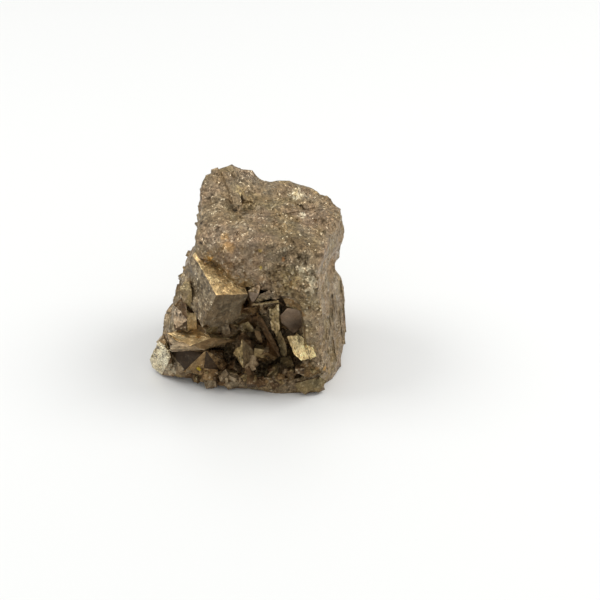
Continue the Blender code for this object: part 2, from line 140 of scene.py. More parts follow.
@dataclass(frozen=True)
class Sight:
    """The camera that took the photograph.

    Attributes:
        elevation: How far it looks down, in radians.
        distance: How far off it is, along its line of sight.
        across: How far it stands to the right of the origin.
        up: How far it is moved up the picture.
        lens: Its focal length.
        sensor: How wide its sensor is.
        frame: How wide the picture is, in pixels.
        nearest_metres: The least distance at which it sees, in metres.
    """

    elevation: float = math.radians(35)
    distance: float = 262.0
    across: float = 9.8
    up: float = 9.6
    lens: float = 85.0
    sensor: float = 36.0
    frame: float = 600.0
    nearest_metres: float = 0.01

    @property
    def right(self) -> Vector:
        """The way across the picture."""
        return Vector((1, 0, 0))

    @property
    def upward(self) -> Vector:
        """The way up the picture."""
        return Vector((0, math.sin(self.elevation), math.cos(self.elevation)))

    @property
    def back(self) -> Vector:
        """The way from the object to the camera."""
        return Vector((0, -math.cos(self.elevation), math.sin(self.elevation)))

    @property
    def eye(self) -> Vector:
        """Where the camera is."""
        return self.right * self.across + self.upward * self.up + self.back * self.distance

    def ray(self, pixel: Pixel) -> Vector:
        """Finds the line of sight through a pixel.

        Args:
            pixel: The pixel.

        Returns:
            The direction, of length one.
        """
        half = self.frame / 2
        spread = self.sensor / self.lens / self.frame
        across = (pixel[0] - half) * spread
        rise = (half - pixel[1]) * spread
        return (self.right * across + self.upward * rise - self.back).normalized()

    def build(self) -> bpy.types.Object:
        """Makes the camera and looks through it.

        Returns:
            The camera.
        """
        data = bpy.data.cameras.new("camera")
        data.lens = self.lens
        data.sensor_width = self.sensor
        data.clip_start = self.nearest_metres
        camera = bpy.data.objects.new("camera", data)
        camera.location = self.eye / METRE
        camera.rotation_mode = "QUATERNION"
        camera.rotation_quaternion = (-self.back).to_track_quat("-Z", "Y")
        bpy.context.scene.collection.objects.link(camera)
        bpy.context.scene.camera = camera
        return camera


@dataclass(frozen=True)
class FacePaint:
    """A crystal face that the photograph shows, with the light or shade that falls on it painted
    into its colour.

    Attributes:
        pixel: A pixel that the face covers.
        tint: Its colour as it looks under the lamps, so with its light or shade painted in.
        light: How much lighter or darker than its tint it is painted: painted light on lit faces,
            painted shade on shaded ones.
        gloss: How polished it is, from 0 to 1.
        tarnish: How far tarnish hides the metal, from 0 to 1.
        grit: How broken its striations are, from 0 to 1.
        spread: Faces next to it that turn less than this from it share its paint, in degrees.
    """

    pixel: Pixel
    tint: Tint
    light: float = 1.0
    gloss: float = 0.4
    tarnish: float = 0.3
    grit: float = 0.3
    spread: float = 6.0


@dataclass(frozen=True)
class SkinPatch:
    """A patch that the photograph shows: a stain or tint, the painted shade of a pit or a hollow,
    or a painted highlight.

    Attributes:
        pixel: The pixel at its middle.
        radius: How far it reaches.
        tint: Its colour.
        strength: How far it covers what is under it, from 0 to 1.
        gloss: How much more polished it is.
        light: How much lighter or darker than its tint it is painted; the painted highlights use
            it.
    """

    pixel: Pixel
    radius: float
    tint: Tint
    strength: float = 0.6
    gloss: float = 0.0
    light: float = 1.0


# The crystal faces that the photograph shows. Each tint and light is the face as it looks under
# the lamps,
# so it carries painted light and shade: lit and glinting faces are painted light, shaded ones
# dark.
FACES: dict[str, FacePaint] = {
    "wedge top": FacePaint((214, 276), Tint.TAN, 1.65, 0.35, 0.25, 0.7),
    "wedge front": FacePaint((222, 308), Tint.SLATE, 0.9, 0.3, 0.5, 0.45),
    "wedge left": FacePaint((198, 296), Tint.STEEL, 0.75, 0.6, 0.2, 1.0),
    "left nugget": FacePaint((184, 288), Tint.GOLD, 0.5, 0.4, 0.2, 0.7, 30.0),
    "left post": FacePaint((181, 316), Tint.ROSE, 1.35, 0.5, 0.2, 1.0),
    "left post side": FacePaint((193, 322), Tint.TAN, 1.3, 0.3, 0.3, 0.5),
    "shelf top": FacePaint((188, 338), Tint.TAN, 1.6, 0.3, 0.2, 0.4),
    "shelf edge": FacePaint((205, 347), Tint.BROWN, 0.9, 0.2, 0.5, 0.3),
    # Painted highlight: the corner lump is painted pale gold where it glints.
    "corner lump": FacePaint((162, 352), Tint.PALE_GOLD_HIGHLIGHT, 0.88, 1.0, 0.0, 1.0, 24.0),
    # Painted shade: the two faces under the shelf are painted dark.
    "under shelf left": FacePaint((185, 358), Tint.UMBER, 0.3, 0.2, 0.9, 0.1),
    "under shelf right": FacePaint((214, 362), Tint.UMBER, 0.26, 0.2, 0.6, 0.1),
    "rhomb left": FacePaint((240, 354), Tint.OLIVE, 1.8, 0.4, 0.2, 0.9),
    "rhomb right": FacePaint((249, 352), Tint.TAN, 0.34, 0.3, 0.4, 0.4),
    "hexagon": FacePaint((293, 322), Tint.MAUVE, 0.95, 0.1, 0.8, 0.0),
    "hexagon brow": FacePaint((294, 304), Tint.BROWN, 1.1, 0.3, 0.5, 0.5),
    "lath": FacePaint((274, 318), Tint.GOLD, 0.8, 0.4, 0.1, 0.8),
    # Painted highlight: the bright block is painted light gold where it catches the lamps.
    "bright block": FacePaint((303, 348), Tint.GOLD, 1.5, 0.7, 0.0, 1.0, 20.0),
    "brow face": FacePaint((254, 293), Tint.MAUVE, 0.8, 0.3, 0.5, 0.2),
    "skyline block": FacePaint((297, 194), Tint.PALE_GOLD_HIGHLIGHT, 0.8, 0.7, 0.0, 0.9, 30.0),
    "slanting plate": FacePaint((262, 330), Tint.UMBER, 1.0, 0.2, 0.6, 0.3),
    "olive blade": FacePaint((240, 325), Tint.OLIVE, 0.8, 0.3, 0.3, 0.5),
    "foot": FacePaint((300, 388), Tint.OLIVE, 0.65, 0.2, 0.5, 0.4, 25.0),
}

# The stain and tint patches that it shows, with the painted shade of its pocket, a hollow and its
# pits and the painted highlights of its brighter spots, the broad ones first
PATCHES: dict[str, SkinPatch] = {
    "mauve brow": SkinPatch((240, 250), 5.5, Tint.MAUVE, 0.5),
    # Painted sheen and painted shade: a darker grey where the top turns down into a hollow.
    "steel hollow": SkinPatch((299, 242), 2.8, Tint.SLATE, 0.75),
    "mauve side": SkinPatch((318, 215), 3.5, Tint.MAUVE, 0.4),
    # Painted shade in the pocket's recess.
    "dark pocket": SkinPatch((262, 348), 8.5, Tint.UMBER, 0.25),
    "dark pocket left": SkinPatch((225, 352), 6.0, Tint.UMBER, 0.25),
    "yellow stain": SkinPatch((225, 236), 0.9, Tint.OCHRE, 0.4),
    "orange stain": SkinPatch((228, 247), 1.2, Tint.OCHRE, 0.4),
    "rust grain": SkinPatch((283, 260), 0.45, Tint.RUST, 0.6),
    "sulphur grain": SkinPatch((260, 268), 0.4, Tint.SULPHUR, 0.6),
    "sulphur fleck": SkinPatch((260, 251), 0.4, Tint.SULPHUR, 0.3),
    # Painted highlights: the silvery glints at the end and the edge of the ledge.
    "bright ledge end": SkinPatch((309, 285), 1.7, Tint.PALE_GOLD_HIGHLIGHT, 0.4, 0.4),
    "bright ledge edge": SkinPatch((304, 272), 1.5, Tint.PALE_GOLD_HIGHLIGHT, 0.4, 0.4),
    "yellow crystal": SkinPatch((208, 260), 1.1, Tint.OCHRE, 0.5, 0.3),
    # Painted highlights: the glints of the ledge, the ridge, the rim under the corner lump, the
    # crest and a crumb.
    "bright ledge": SkinPatch((290, 278), 2.2, Tint.GOLD, 0.35, 0.3),
    "bright ridge": SkinPatch((240, 190), 1.6, Tint.GOLD, 0.5, 0.3),
    "corner foot": SkinPatch((166, 369), 1.7, Tint.PALE_GOLD_HIGHLIGHT, 0.5, 0.5, 0.7),
    "bright crest": SkinPatch((298, 192), 1.7, Tint.PALE_GOLD_HIGHLIGHT, 0.7, 0.4),
    "bright crumb": SkinPatch((303, 215), 0.7, Tint.PALE_GOLD_HIGHLIGHT, 0.5, 0.5),
    # Painted shade inside three small pits.
    "pit": SkinPatch((235, 210), 0.5, Tint.PIT_SHADE, 0.9),
    "left pit": SkinPatch((201, 223), 0.45, Tint.PIT_SHADE, 0.9),
    "lower left pit": SkinPatch((200, 243), 0.45, Tint.PIT_SHADE, 0.9),
    "sulphur pocket": SkinPatch((198, 369), 0.45, Tint.SULPHUR, 0.6),
    # A painted highlight: an orange glint.
    "orange glint": SkinPatch((324.6, 368.6), 0.45, Tint.OCHRE, 0.6, 0.0, 1.4),
}


@dataclass
class Facet:
    """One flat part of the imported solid.

    Attributes:
        normal: The way it faces.
        place: Its middle.
        area: How large it is.
        streak: The way across its striations.
        crystal: Whether it is a crystal face and not skin.
        grain: The tint of the small crystal that it is a side of, or None elsewhere.
    """

    normal: Vector
    place: Vector
    area: float = 0.0
    streak: Vector = field(default_factory=Vector)
    crystal: bool = False
    grain: Tint | None = None


def shown(
    name: str, mesh: bmesh.types.BMesh, where: bpy.types.Collection | None = None
) -> bpy.types.Object:
    """Turns a mesh in the making into an object.

    Args:
        name: The object's name.
        mesh: The mesh, which is freed.
        where: The collection that holds it, or None for the scene's own.

    Returns:
        The object.
    """
    data = bpy.data.meshes.new(name)
    mesh.to_mesh(data)
    mesh.free()
    made = bpy.data.objects.new(name, data)
    (where or bpy.context.scene.collection).objects.link(made)
    return made


@dataclass
class Solid:
    """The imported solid, read as facets.

    Attributes:
        weld: Corners nearer than this are one.
        flat_angle: Triangles that meet at less than this are one facet, in degrees.
        edge_angle: A convex edge sharper than this belongs to a crystal, in degrees.
        crystal_area: A facet larger than this is a crystal face.
        edge_share: So is one whose sharp edges are longer than this share of its width.
        massive_above: Above this height only the faces that the photograph names look crystalline.
        wall_from: It is the same further to the right than this, on the right wall.
        left_to: The top's left side reaches from here to the left.
        touch: A place nearer than this to a side is on it.
        facets: Its flat parts.
        mesh: The mesh, in millimetres.
        layer: Where each triangle of the mesh keeps the number of its facet.
        tree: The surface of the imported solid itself.
        numbers: The facet of each triangle of that surface.
    """

    weld: float = 1e-3
    flat_angle: float = 1.5
    edge_angle: float = 50.0
    crystal_area: float = 4.5
    edge_share: float = 0.9
    massive_above: float = 19.0
    wall_from: float = 13.0
    left_to: float = -7.0
    touch: float = 0.02
    facets: list[Facet] = field(default_factory=list)
    mesh: bmesh.types.BMesh = field(init=False)
    layer: bmesh.types.BMLayerItem = field(init=False)
    tree: BVHTree = field(init=False)
    numbers: list[int] = field(init=False)

    def read(self, source: bpy.types.Object) -> None:
        """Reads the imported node.

        Args:
            source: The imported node, which is left as it is.
        """
        self.mesh = bmesh.new()
        self.mesh.from_mesh(source.data)
        bmesh.ops.scale(self.mesh, vec=(METRE,) * 3, verts=self.mesh.verts)
        bmesh.ops.remove_doubles(self.mesh, verts=self.mesh.verts, dist=self.weld)
        bmesh.ops.triangulate(self.mesh, faces=self.mesh.faces)
        self.mesh.normal_update()
        self.mesh.faces.index_update()
        self.layer = self.mesh.faces.layers.int.new("facet")
        self.group()
        self.measure()
        self.tree = BVHTree.FromBMesh(self.mesh)
        self.numbers = [face[self.layer] for face in self.mesh.faces]

    def massive(self, place: Vector) -> bool:
        """Whether a place is on the massive top or the right wall."""
        return place.z > self.massive_above or place.x > self.wall_from

    def flank(self, place: Vector, steep: bool) -> bool:
        """Whether a place is on the top's left side or, where it is steep, on the right wall."""
        left = place.x < self.left_to and place.z > self.massive_above
        return left or (steep and place.x > self.wall_from)

    def group(self) -> None:
        """Gives each triangle the number of the flat part that it is in."""
        limit = math.radians(self.flat_angle)
        seen: set[int] = set()
        for start in self.mesh.faces:
            if start.index in seen:
                continue
            number = len(self.facets)
            self.facets.append(Facet(start.normal.copy(), Vector()))
            seen.add(start.index)
            waiting = [start]
            while waiting:
                face = waiting.pop()
                face[self.layer] = number
                for edge in face.edges:
                    for other in edge.link_faces:
                        flat = start.normal.angle(other.normal, math.pi) < limit
                        if other.index not in seen and flat:
                            seen.add(other.index)
                            waiting.append(other)

    def measure(self) -> None:
        """Finds each facet's size, its striations, and whether it is a crystal face."""
        sharp = [0.0] * len(self.facets)
        longest = [0.0] * len(self.facets)
        for face in self.mesh.faces:
            facet = self.facets[face[self.layer]]
            area = face.calc_area()
            facet.place += face.calc_center_median() * area
            facet.area += area
        for edge in self.mesh.edges:
            length = edge.calc_length()
            crisp = math.degrees(edge.calc_face_angle_signed(0.0)) > self.edge_angle
            numbers = {face[self.layer] for face in edge.link_faces}
            if len(numbers) < 2:
                continue
            for number in numbers:
                facet = self.facets[number]
                sharp[number] += length * crisp
                if length > longest[number]:
                    longest[number] = length
                    along = edge.verts[1].co - edge.verts[0].co
                    facet.streak = facet.normal.cross(along).normalized()
        for number, facet in enumerate(self.facets):
            facet.place /= max(facet.area, TINY)
            wide = math.sqrt(facet.area)
            crisp = sharp[number] > self.edge_share * wide
            facet.crystal = crisp or facet.area > self.crystal_area

    def hit(self, sight: Sight, pixel: Pixel) -> tuple[Vector, int] | None:
        """Finds what a pixel of the photograph shows.

        Args:
            sight: The camera.
            pixel: The pixel.

        Returns:
            The place on the solid and the number of its facet, or None beside the solid.
        """
        place, _, face, _ = self.tree.ray_cast(sight.eye, sight.ray(pixel))
        if place is None:
            return None
        return place, self.numbers[face]

    def beside(self, number: int, spread: float) -> set[int]:
        """Finds the facets that go on from one and turn little from it.

        Args:
            number: The first facet.
            spread: How far they may turn, in degrees.

        Returns:
            Their numbers, the first among them.
        """
        start = self.facets[number].normal
        found = {number}
        waiting = [face for face in self.mesh.faces if face[self.layer] == number]
        while waiting:
            face = waiting.pop()
            for edge in face.edges:
                for other in edge.link_faces:
                    near = start.angle(self.facets[other[self.layer]].normal, math.pi)
                    if other[self.layer] not in found and near < math.radians(spread):
                        found.add(other[self.layer])
                        waiting.append(other)
        return found

    def fuse(self, grains: Grains) -> None:
        """Makes the small crystals one with the solid, and their sides facets of it.

        Args:
            grains: The small crystals.
        """
        body = shown("body", self.mesh)
        cubes = bpy.data.collections.new("grains")
        bpy.context.scene.collection.children.link(cubes)
        for number, (corners, _) in enumerate(grains.made):
            cube = bmesh.new()
            bmesh.ops.convex_hull(cube, input=[cube.verts.new(corner) for corner in corners])
            bmesh.ops.triangulate(cube, faces=cube.faces)
            bmesh.ops.recalc_face_normals(cube, faces=cube.faces)
            shown(f"grain_{number}", cube, cubes)
        union = body.modifiers.new("union", "BOOLEAN")
        union.operation = "UNION"
        union.solver = "MANIFOLD"
        union.operand_type = "COLLECTION"
        union.collection = cubes
        graph = bpy.context.evaluated_depsgraph_get()
        self.mesh = bmesh.new()
        self.mesh.from_mesh(body.evaluated_get(graph).data)
        for cube in list(cubes.objects):
            bpy.data.objects.remove(cube)
        bpy.data.collections.remove(cubes)
        bpy.data.objects.remove(body)
        bmesh.ops.triangulate(self.mesh, faces=self.mesh.faces)
        self.drop_crumbs()
        self.number(grains)

    def drop_crumbs(self) -> None:
        """Removes the small crystals that touch nothing."""
        self.mesh.verts.index_update()
        seen: set[int] = set()
        parts: list[list[bmesh.types.BMVert]] = []
        for start in self.mesh.verts:
            if start.index in seen:
                continue
            seen.add(start.index)
            part = [start]
            for vert in part:
                for edge in vert.link_edges:
                    other = edge.other_vert(vert)
                    if other.index not in seen:
                        seen.add(other.index)
                        part.append(other)
            parts.append(part)
        parts.sort(key=len)
        for part in parts[:-1]:
            bmesh.ops.delete(self.mesh, geom=part, context="VERTS")

    def number(self, grains: Grains) -> None:
        """Gives each triangle of the fused mesh the number of its facet.

        Args:
            grains: The small crystals.
        """
        layers = self.mesh.faces.layers.int
        self.layer = layers.get("facet") or layers.new("facet")
        tree, sides = grains.sides()
        first = len(self.facets)
        for face in self.mesh.faces:
            place = face.calc_center_median()
            _, _, near, far = self.tree.find_nearest(place)
            _, _, side, close = tree.find_nearest(place)
            on_grain = close < min(far, self.touch)
            face[self.layer] = first + side if on_grain else self.numbers[near]
        self.facets += sides


@dataclass(frozen=True)
class Breakage:
    """Small planes at random tilts, as broken massive mineral shows.

    Attributes:
        span: How wide a plane is.
        height: How far it leans in and out.
        lift: How far it is moved in or out as a whole, as a share of that.
        tilt_key: What the noise of its tilt is read with.
        lift_key: What the noise of its lift is read with.
    """

    span: float
    height: float
    lift: float = 0.5
    tilt_key: float = 13.7
    lift_key: float = 7.1

    def at(self, place: Vector) -> float:
        """Finds how far the skin stands out.

        Args:
            place: A place on the skin.

        Returns:
            The height, which may be less than nought.
        """
        spot = place / self.span
        _, points = noise.voronoi(spot)
        tilt = noise.cell_vector(points[0] * self.tilt_key)
        lift = noise.cell(points[0] * self.lift_key)
        return self.height * (tilt.dot(spot - points[0]) + (lift - 0.5) * self.lift)


@dataclass(frozen=True)
class GrainField:
    """A part of the specimen on which small crystals grow.

    Attributes:
        low: The upper left corner of the part, as a pixel.
        high: Its lower right corner.
        count: How many crystals there are.
        sizes: The least and the greatest edge.
        sunk: How much of each is inside, as a share of its size.
        tints: What they are coloured.
    """

    low: Pixel
    high: Pixel
    count: int
    sizes: Range
    sunk: float
    tints: tuple[Tint, ...]


# Darker tints for the crystals of the front pocket: partly their own olive and brown, partly
# painted shade of the recess.
POCKET_TINTS = (Tint.OLIVE, Tint.BROWN, Tint.UMBER, Tint.UMBER, Tint.BRONZE)
SKIN_TINTS = (Tint.BRONZE, Tint.TAN, Tint.BRONZE, Tint.STEEL)
# Lighter tints for the grains of the ledge and the crest: partly their own gold, partly painted
# highlights of those bright parts.
BRIGHT_TINTS = (Tint.GOLD, Tint.TAN, Tint.BRONZE)

# Where small crystals stand in the photograph
FIELDS: dict[str, GrainField] = {
    "pocket": GrainField((205, 300), (312, 380), 60, (1.0, 2.8), 0.5, POCKET_TINTS),
    "pocket floor": GrainField((200, 366), (325, 382), 40, (0.8, 2.0), 0.6, POCKET_TINTS),
    "ledge": GrainField((262, 266), (318, 300), 56, (0.4, 1.2), 0.55, BRIGHT_TINTS),
    "brow": GrainField((210, 240), (322, 285), 26, (0.4, 1.2), 0.78, SKIN_TINTS),
    "top": GrainField((212, 190), (326, 245), 34, (0.5, 1.3), 0.84, SKIN_TINTS),
    "crest": GrainField((288, 196), (310, 220), 14, (0.5, 1.2), 0.6, BRIGHT_TINTS),
    "left": GrainField((164, 275), (200, 378), 16, (0.5, 1.3), 0.6, SKIN_TINTS),
}

# The corners of each side of a box, in the order in which a small crystal keeps them
BOX_SIDES = ((0, 1, 3, 2), (4, 6, 7, 5), (0, 4, 5, 1), (2, 3, 7, 6), (0, 2, 6, 4), (1, 5, 7, 3))


@dataclass
class Grains:
    """Small crystals that stand out of the solid.

    Attributes:
        seed: What they are drawn by.
        around: How many grow on the sides that the photograph does not show.
        around_sizes: Their least and greatest edge.
        around_sunk: How much of each is inside, as a share of its size.
        left_share: The share of its size that one on the top's left side keeps.
        around_facing: How squarely the skin faces the camera at most where those grow.
        around_rise: How far the skin faces up at least where those grow.
        least_side: A crystal's shortest side, as a share of its longest.
        least_facing: How squarely the skin faces the camera where they grow in its sight.
        margin: How near a named face they may be, in pixels for each millimetre of their edge.
        inside: How far they keep from the sides of the solid's own box.
        made: The corners and the tint of each.
    """

    seed: int = 11
    around: int = 110
    around_sizes: Range = (0.6, 1.8)
    around_sunk: float = 0.78
    left_share: float = 0.35
    around_facing: float = 0.1
    around_rise: float = -0.7
    least_side: float = 0.25
    least_facing: float = 0.3
    margin: float = 2.6
    inside: float = 0.05
    made: list[tuple[list[Vector], Tint]] = field(default_factory=list)

    def grow(
        self, solid: Solid, sight: Sight, clear: set[int], low: Vector, high: Vector
    ) -> None:
        """Finds a place and a shape for each crystal.

        Args:
            solid: What they grow on.
            sight: The camera, by which the shown parts are found.
            clear: The facets that none grows on.
            low: The lowest corner of the solid's box.
            high: Its highest corner.
        """
        draw = random.Random(self.seed)
        self.grow_seen(draw, solid, sight, clear, low, high)
        self.grow_around(draw, solid, sight, low, high)
        LOG.info("%d small crystals", len(self.made))

    def grow_seen(
        self,
        draw: random.Random,
        solid: Solid,
        sight: Sight,
        clear: set[int],
        low: Vector,
        high: Vector,
    ) -> None:
        """Finds a place and a shape for each crystal that the photograph shows.

        Args:
            draw: What they are drawn by.
            solid: What they grow on.
            sight: The camera.
            clear: The facets that none grows on.
            low: The lowest corner of the solid's box.
            high: Its highest corner.
        """
        for part in FIELDS.values():
            for _ in range(part.count):
                pixel = (
                    draw.uniform(part.low[0], part.high[0]),
                    draw.uniform(part.low[1], part.high[1]),
                )
                size = draw.uniform(*part.sizes)
                tint = draw.choice(part.tints)
                found = solid.hit(sight, pixel)
                reach = size * self.margin
                beside = [
                    solid.hit(sight, (pixel[0] + reach * x, pixel[1] + reach * y))
                    for x, y in ((1, 0), (-1, 0), (0, 1), (0, -1))
                ]
                if found is None or found[1] in clear:
                    continue
                if any(spot is not None and spot[1] in clear for spot in beside):
                    continue
                normal = solid.facets[found[1]].normal
                if normal.dot(sight.back) < self.least_facing:
                    continue
                self.add(draw, found[0], normal, size, part.sunk, tint, low, high)

    def grow_around(
        self, draw: random.Random, solid: Solid, sight: Sight, low: Vector, high: Vector
    ) -> None:
        """Finds a place and a shape for each crystal on the sides out of sight.

        Args:
            draw: What they are drawn by.
            solid: What they grow on.
            sight: The camera.
            low: The lowest corner of the solid's box.
            high: Its highest corner.
        """
        faces = [
            face
            for face in solid.mesh.faces
            if face.normal.dot(sight.back) < self.around_facing
            and face.normal.z > self.around_rise
            and face.normal.x < WALL_STARTS
        ]
        areas = [face.calc_area() for face in faces]
        for face in draw.choices(faces, areas, k=self.around):
            shares = sorted((draw.random(), draw.random()))
            corners = [vert.co for vert in face.verts]
            place = (
                corners[0] * shares[0]
                + corners[1] * (shares[1] - shares[0])
                + corners[2] * (1 - shares[1])
            )
            size = draw.uniform(*self.around_sizes)
            if solid.flank(place, steep=False):
                size *= self.left_share
            tint = draw.choice(SKIN_TINTS)
            self.add(draw, place, face.normal, size, self.around_sunk, tint, low, high)

    def add(
        self,
        draw: random.Random,
        place: Vector,
        normal: Vector,
        size: float,
        sunk: float,
        tint: Tint,
        low: Vector,
        high: Vector,
    ) -> None:
        """Keeps one crystal, unless it would stand out of the box.

        Args:
            draw: What its turn is drawn by.
            place: Where it stands on the solid.
            normal: The way the solid faces there.
            size: Its edge.
            sunk: How much of it is inside, as a share of its size.
            tint: Its colour.
            low: The lowest corner of the box.
            high: The box's highest corner.
        """
        turn = Matrix.Rotation(draw.uniform(0, math.tau), 3, "Z")
        turn = turn @ Matrix.Rotation(draw.uniform(0, math.tau), 3, "X")
        turn = turn @ Matrix.Rotation(draw.uniform(0, math.tau), 3, "Y")
        sides = [size * draw.uniform(self.least_side, 1.0) / 2 for _ in range(3)]
        middle = place + normal * (size * (0.5 - sunk))
        corners = []
        for x in (-1, 1):
            for y in (-1, 1):
                for z in (-1, 1):
                    corner = Vector((x * sides[0], y * sides[1], z * sides[2]))
                    corners.append(middle + turn @ corner)
        for axis in range(3):
            least = min(corner[axis] for corner in corners)
            most = max(corner[axis] for corner in corners)
            if least < low[axis] + self.inside or most > high[axis] - self.inside:
                return
        self.made.append((corners, tint))

    def sides(self) -> tuple[BVHTree, list[Facet]]:
        """The sides of the crystals.

        Returns:
            A tree of their sides, and each side as a facet.
        """
        places: list[Vector] = []
        sides: list[tuple[int, ...]] = []
        facets: list[Facet] = []
        for corners, tint in self.made:
            first = len(places)
            places += corners
            for side in BOX_SIDES:
                spots = [corners[number] for number in side]
                along, up = spots[1] - spots[0], spots[3] - spots[0]
                middle = (spots[0] + spots[2]) / 2
                normal = along.cross(up).normalized()
                area = along.length * up.length
                sides.append(tuple(first + number for number in side))
                facets.append(Facet(normal, middle, area, along.normalized(), True, tint))
        return BVHTree.FromPolygons(places, sides), facets


@dataclass
class FineSkin:
    """The solid's surface split fine and broken up, with the small crystals made one with it.

    Attributes:
        skin_edge: The longest edge on the skin.
        crystal_edge: The longest edge on a crystal face.
        rounds: How often the long edges are split.
        reach: How far from a crystal the skin has its full relief.
        grain_reach: How far from a small one it has.
        breakages: The relief of the skin, from coarse to fine.
        flank_rounds: How often the grooves of the flanks are softened.
        flank_share: How far a point goes to the middle of those beside it each time.
        steep: Skin is steep where no face of it faces up or down more than this.
        rest: Below this height every point stays where it is.
        rest_reach: How far above the floor the skin has its full relief.
        base: How far the skin lies under the solid's own surface.
        most_out: How far the skin stands out at most.
        wave: The height and the span of the skin's soft swells.
        wave_layers: How strong and how much finer each layer of the swells is, and how many.
        wall_calm: How much less broken the right wall is.
        step: The height and the span of the steps on a crystal face.
        step_wander: How soon the steps stray from a straight line.
        step_close: How much closer the steps are than their span.
        step_base: How far the steps are moved in, as a share of their height.
        bow: The height and the closeness of the soft swells on a crystal face.
        chip: How far a crystal's edge is chipped, and how close its chips are.
        chip_start: How strong the noise is where a chip starts.
        massive_chip: The share of that on the massive top and the right wall.
        rib: The height and the span of the ribs on the right wall.
        rib_climb: How much a rib changes to a millimetre of its height.
        rib_gain: How much higher the ribs are for the weak noise that they are made by.
        crease: Edges sharper than this are shaded sharp, in degrees.
    """

    skin_edge: float = 0.44
    crystal_edge: float = 0.8
    rounds: int = 4
    reach: float = 0.8
    grain_reach: float = 0.35
    breakages: tuple[Breakage, ...] = (Breakage(3.4, 0.2), Breakage(1.3, 0.1), Breakage(0.6, 0.07))
    flank_rounds: int = 12
    flank_share: float = 0.5
    steep: float = 0.6
    rest: float = 0.02
    rest_reach: float = 0.6
    base: float = 0.12
    most_out: float = 0.06
    wave: tuple[float, float] = (0.07, 0.8)
    wave_layers: tuple[float, float, int] = (0.8, 2.0, 3)
    wall_calm: float = 0.65
    step: tuple[float, float] = (0.07, 1.1)
    step_wander: float = 0.35
    step_close: float = 1.3
    step_base: float = 0.6
    bow: tuple[float, float] = (0.08, 0.5)
    chip: tuple[float, float] = (2.0, 1.3)
    chip_start: float = 0.05
    massive_chip: float = 0.2
    rib: tuple[float, float] = (0.09, 0.75)
    rib_climb: float = 0.05
    rib_gain: float = 1.6
    crease: float = 28.0

    def build(self, solid: Solid, low: Vector, high: Vector) -> bpy.types.Object:
        """Makes the fine mesh.

        Args:
            solid: The solid with the small crystals on it, whose mesh is used up.
            low: The lowest corner of the solid's box.
            high: Its highest corner.

        Returns:
            The specimen, in metres.
        """
        self.split(solid)
        self.relieve(solid, low, high)
        specimen = shown("specimen", solid.mesh)
        self.tidy(specimen.data)
        return specimen

    def split(self, solid: Solid) -> None:
        """Splits the long edges in a few rounds.

        Args:
            solid: The solid.
        """
        mesh, layer = solid.mesh, solid.layer
        crystal = [facet.crystal for facet in solid.facets]
        for _ in range(self.rounds):
            long = []
            for edge in mesh.edges:
                plain = all(crystal[face[layer]] for face in edge.link_faces)
                limit = self.crystal_edge if plain else self.skin_edge
                if edge.calc_length() > limit:
                    long.append(edge)
            bmesh.ops.subdivide_edges(mesh, edges=long, cuts=1)
            wide = [face for face in mesh.faces if len(face.verts) > 3]
            bmesh.ops.triangulate(
                mesh, faces=wide, quad_method="SHORT_EDGE", ngon_method="EAR_CLIP"
            )

    def relieve(self, solid: Solid, low: Vector, high: Vector) -> None:
        """Moves each point of the skin in or out.

        Args:
            solid: The solid.
            low: The lowest corner of the solid's box.
            high: Its highest corner.
        """
        mesh, facets = solid.mesh, solid.facets
        border, joints, kinds, flank = [], [], [], []
        for vert in mesh.verts:
            numbers = {face[solid.layer] for face in vert.link_faces}
            crystals = {number for number in numbers if facets[number].crystal}
            grain = any(facets[number].grain for number in numbers)
            kinds.append((numbers, crystals, grain))
            if crystals and len(crystals) < len(numbers):
                (joints if grain else border).append(vert.co.copy())
            level = max((abs(face.normal.z) for face in vert.link_faces), default=1.0)
            if not grain and solid.flank(vert.co, level < self.steep):
                flank.append(vert)
        for _ in range(self.flank_rounds):
            bmesh.ops.smooth_vert(
                mesh,
                verts=flank,
                factor=self.flank_share,
                use_axis_x=True,
                use_axis_y=True,
                use_axis_z=True,
            )
        mesh.normal_update()
        crystal_tree, grain_tree = self.tree_of(border), self.tree_of(joints)
        moves = []
        for vert, (numbers, crystals, grain) in zip(mesh.verts, kinds):
            place = vert.co
            if place.z < self.rest or grain:
                moves.append(Vector())
            elif not crystals:
                share = min(
                    1.0,
                    crystal_tree.find(place)[2] / self.reach,
                    grain_tree.find(place)[2] / self.grain_reach,
                    place.z / self.rest_reach,
                )
                moves.append(vert.normal * (self.skin_height(place, vert.normal) * share))
            elif len(numbers) == 1:
                facet = facets[next(iter(numbers))]
                moves.append(facet.normal * self.face_height(place, facet))
            elif len(crystals) == len(numbers):
                bite = max(0.0, noise.noise(place / self.chip[1]) - self.chip_start)
                bite *= self.massive_chip if solid.massive(place) else 1.0
                moves.append(vert.normal * (-self.chip[0] * bite))
            else:
                moves.append(Vector())
        for vert, move in zip(mesh.verts, moves):
            vert.co += move
            for axis in range(3):
                vert.co[axis] = kept(vert.co[axis], low[axis], high[axis])

    def tree_of(self, places: list[Vector]) -> KDTree:
        """Makes a tree by which the nearest of some places is found.

        Args:
            places: The places.

        Returns:
            The tree.
        """
        tree = KDTree(len(places))
        for number, place in enumerate(places):
            tree.insert(place, number)
        tree.balance()
        return tree

    def skin_height(self, place: Vector, normal: Vector) -> float:
        """How far the massive skin stands out at a place.

        Args:
            place: The place.
            normal: The way the skin faces there.

        Returns:
            The height.
        """
        wall = wall_share(normal)
        swell = self.wave[0] * noise.fractal(place / self.wave[1], *self.wave_layers)
        broken = sum(breakage.at(place) for breakage in self.breakages)
        across = Vector((place.y / self.rib[1], place.x / self.rib[1], place.z * self.rib_climb))
        rib = self.rib[0] * noise.noise(across) * self.rib_gain
        height = swell + broken * (1 - self.wall_calm * wall) + rib * wall - self.base
        return min(self.most_out, height)

